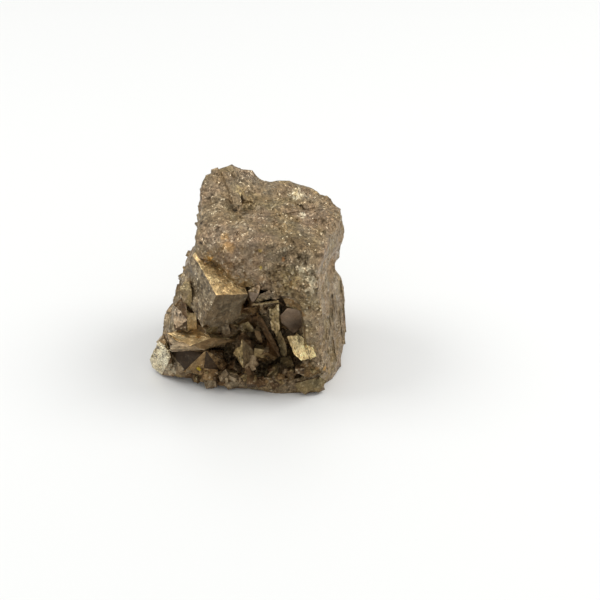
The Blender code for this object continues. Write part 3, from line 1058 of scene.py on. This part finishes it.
    def face_height(self, place: Vector, facet: Facet) -> float:
        """How far a crystal face stands out at a place, in growth steps.

        Args:
            place: The place.
            facet: The face.

        Returns:
            The height.
        """
        across = place.dot(facet.streak) / self.step[1]
        stray = noise.noise(place * self.step_wander)
        line = Vector((across + stray, facet.place.x, facet.place.y))
        steps = self.step[0] * (noise.cell(line * self.step_close) - self.step_base)
        return steps + self.bow[0] * noise.noise(place * self.bow[1])

    def tidy(self, mesh: bpy.types.Mesh) -> None:
        """Shades the mesh and turns it into metres.

        Args:
            mesh: The mesh.
        """
        mesh.shade_smooth()
        mesh.set_sharp_from_angle(angle=math.radians(self.crease))
        places = np.zeros(len(mesh.vertices) * 3)
        mesh.vertices.foreach_get("co", places)
        mesh.vertices.foreach_set("co", places / METRE)
        mesh.update()
        LOG.info("skin of %d triangles", sum(len(p.vertices) - 2 for p in mesh.polygons))


@dataclass(frozen=True)
class Look:
    """What one face carries for the material.

    Attributes:
        colour: Its colour.
        streak: The way across its striations.
        gloss: How polished it is.
        tarnish: How far tarnish hides the metal.
        grit: How broken its striations are.
        skin: How far it is massive skin and not a crystal face.
    """

    colour: Vector
    streak: Vector
    gloss: float
    tarnish: float
    grit: float
    skin: float


MARKS = ("gloss", "tarnish", "grit", "skin")


@dataclass(frozen=True)
class Flush:
    """A tint that comes and goes over the massive skin.

    Attributes:
        tint: The tint.
        scale: How many swells of it there are to a millimetre.
        start: Where its noise is read from.
        gain: How soon it comes.
        most: How far it covers what is under it at most.
    """

    tint: Tint
    scale: float
    start: tuple[float, float, float]
    gain: float = 1.4
    most: float = 0.5

    def over(self, colour: Vector, place: Vector) -> Vector:
        """The colour at a place, with the tint laid over it."""
        swell = noise.noise(place * self.scale + Vector(self.start))
        return colour.lerp(Vector(self.tint.value), kept(swell * self.gain, high=self.most))


@dataclass
class Paintwork:
    """What each small face carries for the material: its tint, with painted light and shade on the
    named faces and patches, its gloss and the like.

    Attributes:
        seed: What the crystals that no paint names are coloured by.
        pocket_before: Nearer to the front than this they have the pocket's darker tints, partly
            painted shade.
        shades: The least and the greatest light of such a crystal.
        glosses: Its least and greatest gloss.
        tarnishes: Its least and greatest tarnish.
        grits: The least and the greatest grit of its striations.
        flushes: The tints that come and go over the skin.
        shade_span: How wide the skin's lighter and darker specks are.
        shade: How light the specks are.
        mottle: How much lighter and darker than that they are.
        mottle_key: What the noise of the specks is read with.
        rib_streak: The way across the ribs of the right wall.
        wall_fade: How much less granular the right wall is.
        patch_reach: How far a patch is looked for, as a share of its radius.
        patch_edge: Where it fades, as a share of its radius.
        patch_crisp: How soon it fades.
        ragged: How many swells its edge has to a millimetre, and how strong they are.
        glitter: How many bright specks there are to a millimetre of a polished spot; they are
            painted glints.
        speck: How much they stand out of it.
        named: The paint of each facet that has one, with the painted light and shade of its face.
        stains_and_painted_light: The place of each stain, painted highlight and patch of painted
            shade.
    """

    seed: int = 5
    pocket_before: float = -4.0
    shades: Range = (0.7, 1.1)
    glosses: Range = (0.1, 0.5)
    tarnishes: Range = (0.2, 0.5)
    grits: Range = (0.2, 0.8)
    flushes: tuple[Flush, ...] = (
        Flush(Tint.MAUVE, 0.22, (9, 4, 2)),
        Flush(Tint.OLIVE, 0.3, (2, 7, 5)),
    )
    shade_span: float = 0.6
    shade: float = 0.86
    mottle: float = 0.24
    mottle_key: float = 5.3
    rib_streak: tuple[float, float, float] = (-0.2, 1.0, 0.0)
    wall_fade: float = 0.5
    patch_reach: float = 1.3
    patch_edge: float = 1.15
    patch_crisp: float = 2.0
    ragged: tuple[float, float] = (1.6, 0.45)
    glitter: float = 2.2
    speck: float = 1.3
    named: dict[int, FacePaint] = field(default_factory=dict)
    stains_and_painted_light: list[tuple[Vector, SkinPatch]] = field(default_factory=list)

    def find(self, solid: Solid, sight: Sight) -> None:
        """Finds the faces and the places that the photograph names.

        Args:
            solid: The solid.
            sight: The camera.
        """
        for name, paint in FACES.items():
            found = solid.hit(sight, paint.pixel)
            if found is None:
                LOG.warning("no face for %s", name)
                continue
            for number in solid.beside(found[1], paint.spread):
                self.named[number] = paint
        for name, patch in PATCHES.items():
            found = solid.hit(sight, patch.pixel)
            if found is None:
                LOG.warning("no place for %s", name)
                continue
            self.stains_and_painted_light.append((found[0], patch))

    def lay(self, specimen: bpy.types.Object, solid: Solid) -> None:
        """Writes the colours and the like onto the mesh.

        Args:
            specimen: The specimen.
            solid: The solid.
        """
        looks = self.facet_looks(solid)
        mesh = specimen.data
        count = len(mesh.polygons)
        numbers = np.zeros(count, np.int32)
        mesh.attributes["facet"].data.foreach_get("value", numbers)
        mesh.attributes.remove(mesh.attributes["facet"])
        tint = np.ones((count, 4), np.float32)
        streak = np.zeros((count, 3), np.float32)
        marks = np.zeros((len(MARKS), count), np.float32)
        for polygon in mesh.polygons:
            place = polygon.center * METRE
            look = looks[numbers[polygon.index]]
            if look.skin > 0:
                look = self.skin_look(place, polygon.normal)
            colour, gloss = self.stained_and_painted_light(place, look)
            tint[polygon.index, :3] = colour
            streak[polygon.index] = look.streak
            marks[:, polygon.index] = (gloss, look.tarnish, look.grit, look.skin)
        # The tint carries the painted light and shade of the named faces and patches.
        made = mesh.attributes.new("tint", "FLOAT_COLOR", "FACE")
        made.data.foreach_set("color", tint.ravel())
        made = mesh.attributes.new("streak", "FLOAT_VECTOR", "FACE")
        made.data.foreach_set("vector", streak.ravel())
        for name, values in zip(MARKS, marks):
            made = mesh.attributes.new(name, "FLOAT", "FACE")
            made.data.foreach_set("value", values)

    def stained_and_painted_light(self, place: Vector, look: Look) -> tuple[Vector, float]:
        """Lays the stain patches, the painted highlights and the painted shade of pits, the pocket
        and a hollow over a look.

        Args:
            place: Where it is.
            look: The look.

        Returns:
            The colour and the gloss with the patches on them.
        """
        colour, gloss = look.colour, look.gloss
        for spot, patch in self.stains_and_painted_light:
            distance = (place - spot).length / patch.radius
            if distance < self.patch_reach:
                edge = noise.noise(place * self.ragged[0]) * self.ragged[1]
                fade = kept((self.patch_edge - distance + edge) * self.patch_crisp)
                cover = patch.strength * fade
                # On a polished spot the cover is broken into specks: painted glints.
                if patch.gloss > 0:
                    speck = 1.0 + self.speck * noise.cell(place * self.glitter)
                    cover = kept(cover * speck)
                colour = colour.lerp(Vector(patch.tint.value) * patch.light, cover)
                gloss += patch.gloss * cover
        return colour, min(1.0, gloss)

    def skin_look(self, place: Vector, normal: Vector) -> Look:
        """The look of the massive skin at a place.

        Args:
            place: The place.
            normal: The way the skin faces there.

        Returns:
            The look.
        """
        wall = wall_share(normal)
        colour = Vector(Tint.BRONZE.value).lerp(Vector(Tint.WALL.value), wall)
        for flush in self.flushes:
            colour = flush.over(colour, place)
        _, points = noise.voronoi(place / self.shade_span)
        colour = colour * (self.shade + self.mottle * noise.cell(points[0] * self.mottle_key))
        return Look(
            colour,
            Vector(self.rib_streak) * wall,
            gloss=0.2,
            tarnish=0.25,
            grit=0.4,
            skin=1 - self.wall_fade * wall,
        )

    def facet_looks(self, solid: Solid) -> list[Look]:
        """The look of each facet of the solid.

        Args:
            solid: The solid.

        Returns:
            The looks, in the facets' order.
        """
        draw = random.Random(self.seed)
        looks = []
        for number, facet in enumerate(solid.facets):
            tints = POCKET_TINTS if facet.place.y < self.pocket_before else SKIN_TINTS
            colour = Vector(draw.choice(tints).value) * draw.uniform(*self.shades)
            gloss, tarnish = draw.uniform(*self.glosses), draw.uniform(*self.tarnishes)
            skin = 0.0 if facet.crystal and not solid.massive(facet.place) else 1.0
            grit = draw.uniform(*self.grits)
            if facet.grain is not None:
                colour = Vector(facet.grain.value) * draw.uniform(*self.shades)
            paint = self.named.get(number)
            if paint is not None:
                # A named face is painted its tint times its light: its painted light or painted
                # shade.
                colour = Vector(paint.tint.value) * paint.light
                gloss, tarnish, grit, skin = paint.gloss, paint.tarnish, paint.grit, 0.0
            looks.append(Look(colour, facet.streak, gloss, tarnish, grit, skin))
        return looks


# The numbers of the sockets by which a Mix node takes and gives colours
MIX_FACTOR, MIX_FIRST, MIX_SECOND, MIX_RESULT = 0, 6, 7, 2


@dataclass(frozen=True)
class Cloud:
    """Soft noise.

    Attributes:
        scale: How many swells there are to a millimetre.
        detail: How many finer layers it has.
        rough: How strong the finer layers are.
    """

    scale: float
    detail: float = 3.0
    rough: float = 0.55


class Value:
    """A number that runs through a shader, written as ordinary sums."""

    def __init__(self, sheet: Sheet, socket: bpy.types.NodeSocket) -> None:
        """Wraps the output that carries the number on a sheet."""
        self.sheet = sheet
        self.socket = socket

    def _sum(self, operation: str, *others: Value | float, clamp: bool = False) -> Value:
        """Adds one Math node.

        Args:
            operation: The node's operation.
            others: What it works with besides this value.
            clamp: Whether the result is kept from 0 to 1.

        Returns:
            The result.
        """
        values = dict(enumerate((self, *others)))
        settings = {"operation": operation, "use_clamp": clamp}
        return Value(self.sheet, self.sheet.node("ShaderNodeMath", settings, values).outputs[0])

    def __add__(self, other: Value | float) -> Value:
        """This plus another."""
        return self._sum("ADD", other)

    __radd__ = __add__

    def __sub__(self, other: Value | float) -> Value:
        """This less another."""
        return self._sum("SUBTRACT", other)

    def __rsub__(self, other: Value | float) -> Value:
        """Another less this."""
        return self._sum("MULTIPLY", -1.0) + other

    def __mul__(self, other: Value | float) -> Value:
        """This times another."""
        return self._sum("MULTIPLY", other)

    __rmul__ = __mul__

    def over(self, edge: Value | float) -> Value:
        """One where this is greater than an edge, else nought."""
        return self._sum("GREATER_THAN", edge)

    def clamped(self) -> Value:
        """This, kept from 0 to 1."""
        return self._sum("ADD", 0.0, clamp=True)

    def at_least(self, least: float) -> Value:
        """This, or a least value where that is greater."""
        return self._sum("MAXIMUM", least)

    def ramp(self, low: float, high: float) -> Value:
        """How far this is from a low bound, where it gives 0, to a high one, where it gives 1."""
        return ((self - low) * (1.0 / (high - low))).clamped()


class Sheet:
    """A material, or the world, as it is written node by node."""

    def __init__(self, owner: bpy.types.Material | bpy.types.World, shader: str) -> None:
        """Starts on the nodes of a material or of the world.

        Args:
            owner: The material or the world.
            shader: The name of the node that its look ends in.
        """
        owner.use_nodes = True
        self.tree = owner.node_tree
        self.shader = self.tree.nodes[shader]

    def node(
        self, kind: str, settings: dict[str, object], values: dict[object, object]
    ) -> bpy.types.Node:
        """Adds any node.

        Args:
            kind: The node's type.
            settings: Its own properties, which are set first.
            values: What its inputs hold or are linked to, by name or number.

        Returns:
            The node.
        """
        made = self.tree.nodes.new(kind)
        for name, setting in settings.items():
            setattr(made, name, setting)
        for key, value in values.items():
            self.feed(made.inputs[key], value)
        return made

    def feed(self, socket: bpy.types.NodeSocket, value: object) -> None:
        """Sets or links an input.

        Args:
            socket: The input.
            value: A number, a colour, a value of the shader or an output.
        """
        if isinstance(value, Value):
            self.tree.links.new(value.socket, socket)
        elif isinstance(value, bpy.types.NodeSocket):
            self.tree.links.new(value, socket)
        else:
            socket.default_value = value

    def drive(self, **inputs: object) -> None:
        """Feeds the shader's own inputs, each by its name with low lines for spaces."""
        for name, value in inputs.items():
            self.feed(self.shader.inputs[name.replace("_", " ")], value)

    def place(self) -> bpy.types.NodeSocket:
        """Where on the piece a point is, in millimetres."""
        spot = self.node("ShaderNodeTexCoord", {}, {}).outputs["Object"]
        return self.vector("SCALE", spot, Scale=METRE)

    def vector(self, operation: str, *inputs: object, **named: object) -> bpy.types.NodeSocket:
        """Adds one Vector Math node.

        Args:
            operation: The node's operation.
            inputs: Its inputs in order.
            named: Its other inputs.

        Returns:
            The resulting vector.
        """
        values: dict[object, object] = dict(enumerate(inputs))
        values.update(named)
        return self.node("ShaderNodeVectorMath", {"operation": operation}, values).outputs[0]

    def dot(self, first: object, second: object) -> Value:
        """How far one vector runs along another.

        Args:
            first: The first vector.
            second: The second vector.

        Returns:
            Their dot product.
        """
        settings = {"operation": "DOT_PRODUCT"}
        found = self.node("ShaderNodeVectorMath", settings, {0: first, 1: second})
        return Value(self, found.outputs["Value"])

    def attribute(self, name: str) -> bpy.types.Node:
        """The node that reads what the mesh carries under a name."""
        return self.node("ShaderNodeAttribute", {"attribute_name": name}, {})

    def number(self, name: str) -> Value:
        """A number that the mesh carries."""
        return Value(self, self.attribute(name).outputs["Fac"])

    def cloud(self, place: object, cloud: Cloud) -> Value:
        """Adds soft noise.

        Args:
            place: Where it is read.
            cloud: How it swells.

        Returns:
            The noise, about 0 to 1.
        """
        values = {
            "Vector": place,
            "Scale": cloud.scale,
            "Detail": cloud.detail,
            "Roughness": cloud.rough,
        }
        return Value(self, self.node("ShaderNodeTexNoise", {}, values).outputs[0])

    def cells(self, place: object, scale: float) -> bpy.types.NodeSocket:
        """Small cells, each of its own random colour."""
        made = self.node("ShaderNodeTexVoronoi", {}, {"Vector": place, "Scale": scale})
        return made.outputs["Color"]

    def part(self, colour: bpy.types.NodeSocket, channel: int) -> Value:
        """One channel of a colour."""
        return Value(self, self.node("ShaderNodeSeparateColor", {}, {0: colour}).outputs[channel])

    def mix(
        self, factor: object, first: object, second: object, blend: str = "MIX"
    ) -> bpy.types.NodeSocket:
        """Mixes two colours.

        Args:
            factor: How much of the second there is.
            first: The first colour.
            second: The second colour.
            blend: How the second is laid on.

        Returns:
            The mixed colour.
        """
        settings = {"data_type": "RGBA", "blend_type": blend}
        values = {MIX_FACTOR: factor, MIX_FIRST: first, MIX_SECOND: second}
        return self.node("ShaderNodeMix", settings, values).outputs[MIX_RESULT]

    def grey(self, value: Value) -> bpy.types.NodeSocket:
        """A number as a grey that is as light as it."""
        return self.node("ShaderNodeCombineXYZ", {}, {0: value, 1: value, 2: value}).outputs[0]


@dataclass(frozen=True)
class PyriteFinish:
    """Dull bronze metal, granular where it is massive and striated on its crystal faces.

    Attributes:
        metallic: How far it is metal.
        tarnish_loss: How much less metal tarnish leaves of it.
        skin_roughness: The roughness of the massive skin.
        face_roughness: The roughness of a crystal face.
        polish: How much smoother full gloss is.
        dust_roughness: How much the dust changes the roughness.
        dust: The finest grain, all over.
        patch: The broad patches on a crystal face.
        swell: Where the tint is warmer and where it is cooler.
        stria: How the striations change from place to place.
        stria_length: How many of them follow on one another to a millimetre.
        fine_cells: How many fine grains there are to a millimetre.
        coarse_cells: How many coarse ones there are.
        grain_light: The light of the darkest grain, and what fine and coarse ones add to it.
        dust_light: The light without dust, and what the dust adds to it.
        stria_light: What striations add to a face's light, with full grit and without.
        patch_light: What its broad patches add, with full grit and without.
        speck_light: What its fine grains add with full grit.
        least_light: The light of the deepest shade.
        warm: What the warm parts are multiplied by.
        cool: What the cool parts are multiplied by.
        warm_range: Where the noise turns warm, and where cool.
        highlight_range: The light at which grains start to be painted pale as painted highlights,
            and where that is full.
        highlight_share: How strong that painted highlight is.
        glint_above: Grains brighter than this glint.
        glint_share: How much a glint is painted lighter, as a painted highlight, and how much
            smoother it is.
        grain_bump: The height of the skin's grain.
        stria_bump: The height of the striations.
        stria_least: The share of that without grit.
        stretch: How much closer the striations are than they are long.
        lean: How far the grains of the skin are turned.
        face_lean: How far those of a face with full grit are.
        least_lean: How far those of a face without grit are.
        highlight_colour: The pale colour that the brightest grains and the glints are painted, as
            painted highlights.
    """

    metallic: float = 0.85
    tarnish_loss: float = 0.4
    skin_roughness: float = 0.52
    face_roughness: float = 0.44
    polish: float = 0.18
    dust_roughness: float = 0.3
    dust: Cloud = Cloud(3.4, 4.0, 0.75)
    patch: Cloud = Cloud(0.9)
    swell: Cloud = Cloud(0.35, 2.0)
    stria: Cloud = Cloud(1.0, 4.0, 0.65)
    stria_length: float = 1.3
    fine_cells: float = 2.9
    coarse_cells: float = 1.4
    grain_light: tuple[float, float, float] = (0.58, 0.56, 0.24)
    dust_light: tuple[float, float] = (0.3, 1.4)
    stria_light: tuple[float, float] = (3.2, 0.6)
    patch_light: tuple[float, float] = (2.4, 0.6)
    speck_light: float = 0.5
    least_light: float = 0.08
    warm: Colour = (1.05, 0.99, 0.9)
    cool: Colour = (0.98, 1.0, 1.0)
    warm_range: Range = (0.4, 0.62)
    highlight_range: Range = (1.25, 1.9)
    highlight_share: float = 0.35
    glint_above: float = 0.93
    glint_share: float = 0.25
    grain_bump: float = 0.09
    stria_bump: float = 0.12
    stria_least: float = 0.1
    stretch: float = 7.0
    lean: float = 0.8
    face_lean: float = 0.35
    least_lean: float = 0.05
    highlight_colour: Colour = linear(228, 216, 186)

    def build(self) -> bpy.types.Material:
        """Writes the material.

        Returns:
            The material.
        """
        material = bpy.data.materials.new("pyrite")
        sheet = Sheet(material, "Principled BSDF")
        place = sheet.place()
        skin, gloss = sheet.number("skin"), sheet.number("gloss")
        tarnish, grit = sheet.number("tarnish"), sheet.number("grit")
        fine = sheet.cells(place, self.fine_cells)
        coarse = sheet.cells(place, self.coarse_cells)
        dust = sheet.cloud(place, self.dust)
        stria = self.striations(sheet, place)
        patchy = sheet.cloud(place, self.patch)
        fine_share = sheet.part(fine, 0)
        least, fine_light, coarse_light = self.grain_light
        grain = least + fine_share * fine_light + sheet.part(coarse, 1) * coarse_light
        face = self.face_light(stria, patchy, fine_share, grit)
        plain, dusty = self.dust_light
        light = (grain * skin + face * (1 - skin)) * (plain + dust * dusty)
        light = light.at_least(self.least_light)
        glint = fine_share.over(self.glint_above) * (skin + grit).clamped()
        # Painted highlights: the lightest grains and the glints are painted towards a pale colour.
        painted_highlight = light.ramp(*self.highlight_range) * self.highlight_share + glint * self.glint_share
        rough = skin * self.skin_roughness + (1 - skin) * self.face_roughness
        rough = rough - gloss * self.polish + (dust - 0.5) * self.dust_roughness
        height = stria * (grit + self.stria_least) * self.stria_bump * (1 - skin)
        lean = skin * self.lean + (1 - skin) * grit * self.face_lean + self.least_lean
        relief = {
            "Strength": 1.0,
            "Distance": 1.0 / METRE,
            "Height": dust * self.grain_bump + height,
            "Normal": self.turned(sheet, fine, coarse, lean),
        }
        colour = self.tinted(sheet, place, light)
        sheet.drive(
            Base_Color=sheet.mix(painted_highlight.clamped(), colour, (*self.highlight_colour, 1.0)),
            Roughness=(rough - glint * self.glint_share).clamped(),
            Metallic=(self.metallic - tarnish * self.tarnish_loss).clamped(),
            Normal=sheet.node("ShaderNodeBump", {}, relief).outputs[0],
        )
        return material

    def face_light(self, stria: Value, patchy: Value, fine_share: Value, grit: Value) -> Value:
        """How light a crystal face is.

        Args:
            stria: The height of its striations.
            patchy: Its broad patches.
            fine_share: Its fine grains.
            grit: How broken it is.

        Returns:
            The light.
        """
        lines = (stria - 0.5) * (grit * self.stria_light[0] + self.stria_light[1])
        specks = (fine_share - 0.5) * grit * self.speck_light
        patches = (patchy - 0.5) * (grit * self.patch_light[0] + self.patch_light[1])
        return 1 + lines + specks + patches

    def tinted(
        self, sheet: Sheet, place: bpy.types.NodeSocket, light: Value
    ) -> bpy.types.NodeSocket:
        """The tint that the mesh carries, shaded, with warmer and cooler parts.

        Args:
            sheet: The material.
            place: Where it is read.
            light: How light it is.

        Returns:
            The colour.
        """
        tint = sheet.attribute("tint").outputs["Color"]
        shaded = sheet.mix(1.0, tint, sheet.grey(light), "MULTIPLY")
        warm = sheet.mix(1.0, shaded, (*self.warm, 1.0), "MULTIPLY")
        cool = sheet.mix(1.0, shaded, (*self.cool, 1.0), "MULTIPLY")
        swell = sheet.cloud(place, self.swell)
        return sheet.mix(swell.ramp(*self.warm_range), warm, cool)

    def turned(
        self,
        sheet: Sheet,
        fine: bpy.types.NodeSocket,
        coarse: bpy.types.NodeSocket,
        amount: Value,
    ) -> bpy.types.NodeSocket:
        """The way the surface faces, with each grain turned a little.

        Args:
            sheet: The material.
            fine: The fine grains.
            coarse: The coarse grains.
            amount: How far they are turned.

        Returns:
            The direction.
        """
        lean = sheet.vector("ADD", self.centred(sheet, fine), self.centred(sheet, coarse))
        lean = sheet.vector("SCALE", lean, Scale=amount)
        flat = sheet.node("ShaderNodeNewGeometry", {}, {}).outputs["Normal"]
        return sheet.vector("NORMALIZE", sheet.vector("ADD", flat, lean))

    def centred(self, sheet: Sheet, colour: bpy.types.NodeSocket) -> bpy.types.NodeSocket:
        """A random colour as a random direction."""
        return sheet.vector("SUBTRACT", colour, (0.5, 0.5, 0.5))

    def striations(self, sheet: Sheet, place: bpy.types.NodeSocket) -> Value:
        """Short parallel steps across each crystal face.

        Args:
            sheet: The material.
            place: Where it is read.

        Returns:
            Their height, about 0 to 1.
        """
        streak = sheet.attribute("streak").outputs["Vector"]
        across = sheet.dot(place, streak)
        stretched = sheet.vector("SCALE", streak, Scale=across * self.stretch)
        along = sheet.vector("SCALE", place, Scale=self.stria_length)
        return sheet.cloud(sheet.vector("ADD", along, stretched), self.stria)


@dataclass(frozen=True)
class FloorFinish:
    """A white board with a soft sheen.

    Attributes:
        colour: Its colour.
        roughness: Its roughness.
    """

    colour: Colour = (0.8, 0.805, 0.793)
    roughness: float = 0.32

    def build(self) -> bpy.types.Material:
        """Writes the material.

        Returns:
            The material.
        """
        material = bpy.data.materials.new("floor")
        sheet = Sheet(material, "Principled BSDF")
        sheet.drive(Base_Color=(*self.colour, 1.0), Roughness=self.roughness)
        return material


@dataclass
class Specimen:
    """The lump of pyrite, which is one piece.

    Attributes:
        skin: Its surface.
        grains: Its small crystals.
        paint: Its colours.
        finish: Its material.
        solid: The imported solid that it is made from.
        piece: The object that is shown.
    """

    skin: FineSkin = field(default_factory=FineSkin)
    grains: Grains = field(default_factory=Grains)
    paint: Paintwork = field(default_factory=Paintwork)
    finish: PyriteFinish = field(default_factory=PyriteFinish)
    solid: Solid = field(default_factory=Solid)
    piece: bpy.types.Object = field(init=False)

    def build(self, node: bpy.types.Object, sight: Sight) -> None:
        """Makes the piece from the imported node.

        Args:
            node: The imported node.
            sight: The camera.
        """
        self.solid.read(node)
        low, high = (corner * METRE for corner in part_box(NODE))
        self.paint.find(self.solid, sight)
        self.grains.grow(self.solid, sight, set(self.paint.named), low, high)
        self.solid.fuse(self.grains)
        self.piece = self.skin.build(self.solid, low, high)
        self.paint.lay(self.piece, self.solid)

    def dress(self) -> None:
        """Gives the piece its finish, hangs it on the root body and hides the imported node."""
        self.piece.data.materials.clear()
        self.piece.data.materials.append(self.finish.build())
        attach(self.piece, "root")
        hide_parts(NODE)
        LOG.info("piece %s rides on root", self.piece.name)


@dataclass(frozen=True)
class Softbox:
    """A large soft light.

    Attributes:
        name: What it is called.
        bearing: Where it stands round the object, in degrees from the right.
        elevation: How high it stands, in degrees.
        distance: How far off it is, in metres.
        size: How wide it is, in metres.
        power: Its power, in watts.
    """

    name: str
    bearing: float
    elevation: float
    distance: float
    size: float
    power: float

    def build(self) -> bpy.types.Object:
        """Makes the light.

        Returns:
            The light.
        """
        data = bpy.data.lights.new(self.name, "AREA")
        data.shape = "DISK"
        data.size = self.size
        data.energy = self.power
        light = bpy.data.objects.new(self.name, data)
        bearing, elevation = math.radians(self.bearing), math.radians(self.elevation)
        way = Vector((
            math.cos(bearing) * math.cos(elevation),
            math.sin(bearing) * math.cos(elevation),
            math.sin(elevation),
        ))
        light.location = way * self.distance
        light.rotation_mode = "QUATERNION"
        light.rotation_quaternion = way.to_track_quat("Z", "Y")
        bpy.context.scene.collection.objects.link(light)
        return light


@dataclass
class Studio:
    """The floor, the lights and the air.

    Attributes:
        floor: What the floor is made of.
        lights: The lights.
        horizon: How bright the air is level with the object.
        zenith: How bright it is overhead.
        floor_half: Half the floor's width, in metres.
        floor_drop: How far the floor is under the object, in metres.
    """

    floor: FloorFinish = field(default_factory=FloorFinish)
    lights: tuple[Softbox, ...] = (
        Softbox("left light", 169, 48, 0.55, 0.3, 1.05),
        Softbox("right light", 13, 50, 0.55, 0.3, 1.28),
    )
    horizon: float = 0.45
    zenith: float = 0.88
    floor_half: float = 1.5
    floor_drop: float = 2e-5

    def build(self) -> None:
        """Makes the floor, the lights and the air."""
        self.lay_floor()
        for light in self.lights:
            light.build()
            LOG.info("light %s", light.name)
        self.fill_air()

    def lay_floor(self) -> None:
        """Makes the floor."""
        data = bpy.data.meshes.new("floor")
        half = self.floor_half
        corners = [(-half, -half, 0), (half, -half, 0), (half, half, 0), (-half, half, 0)]
        data.from_pydata(corners, [], [(0, 1, 2, 3)])
        floor = bpy.data.objects.new("floor", data)
        floor.location.z = -self.floor_drop
        data.materials.append(self.floor.build())
        bpy.context.scene.collection.objects.link(floor)
        LOG.info("floor of %s", self.floor)

    def fill_air(self) -> None:
        """Makes the air, which is darker level with the object than overhead."""
        world = bpy.data.worlds.new("air")
        sheet = Sheet(world, "Background")
        way = sheet.node("ShaderNodeTexCoord", {}, {}).outputs["Generated"]
        height = Value(sheet, sheet.node("ShaderNodeSeparateXYZ", {}, {0: way}).outputs[2])
        rise = self.zenith - self.horizon
        sheet.drive(Color=(1.0, 1.0, 1.0, 1.0), Strength=height.clamped() * rise + self.horizon)
        bpy.context.scene.world = world
        bpy.context.scene.view_settings.view_transform = "Standard"


def main() -> None:
    """Builds the specimen and its studio."""
    logging.basicConfig(level=logging.INFO, format="%(name)s: %(message)s")
    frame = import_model()
    sight = Sight()
    specimen = Specimen()
    specimen.build(frame["nodes"][NODE], sight)
    specimen.dress()
    Studio().build()
    sight.build()


if __name__ == "__main__":
    main()
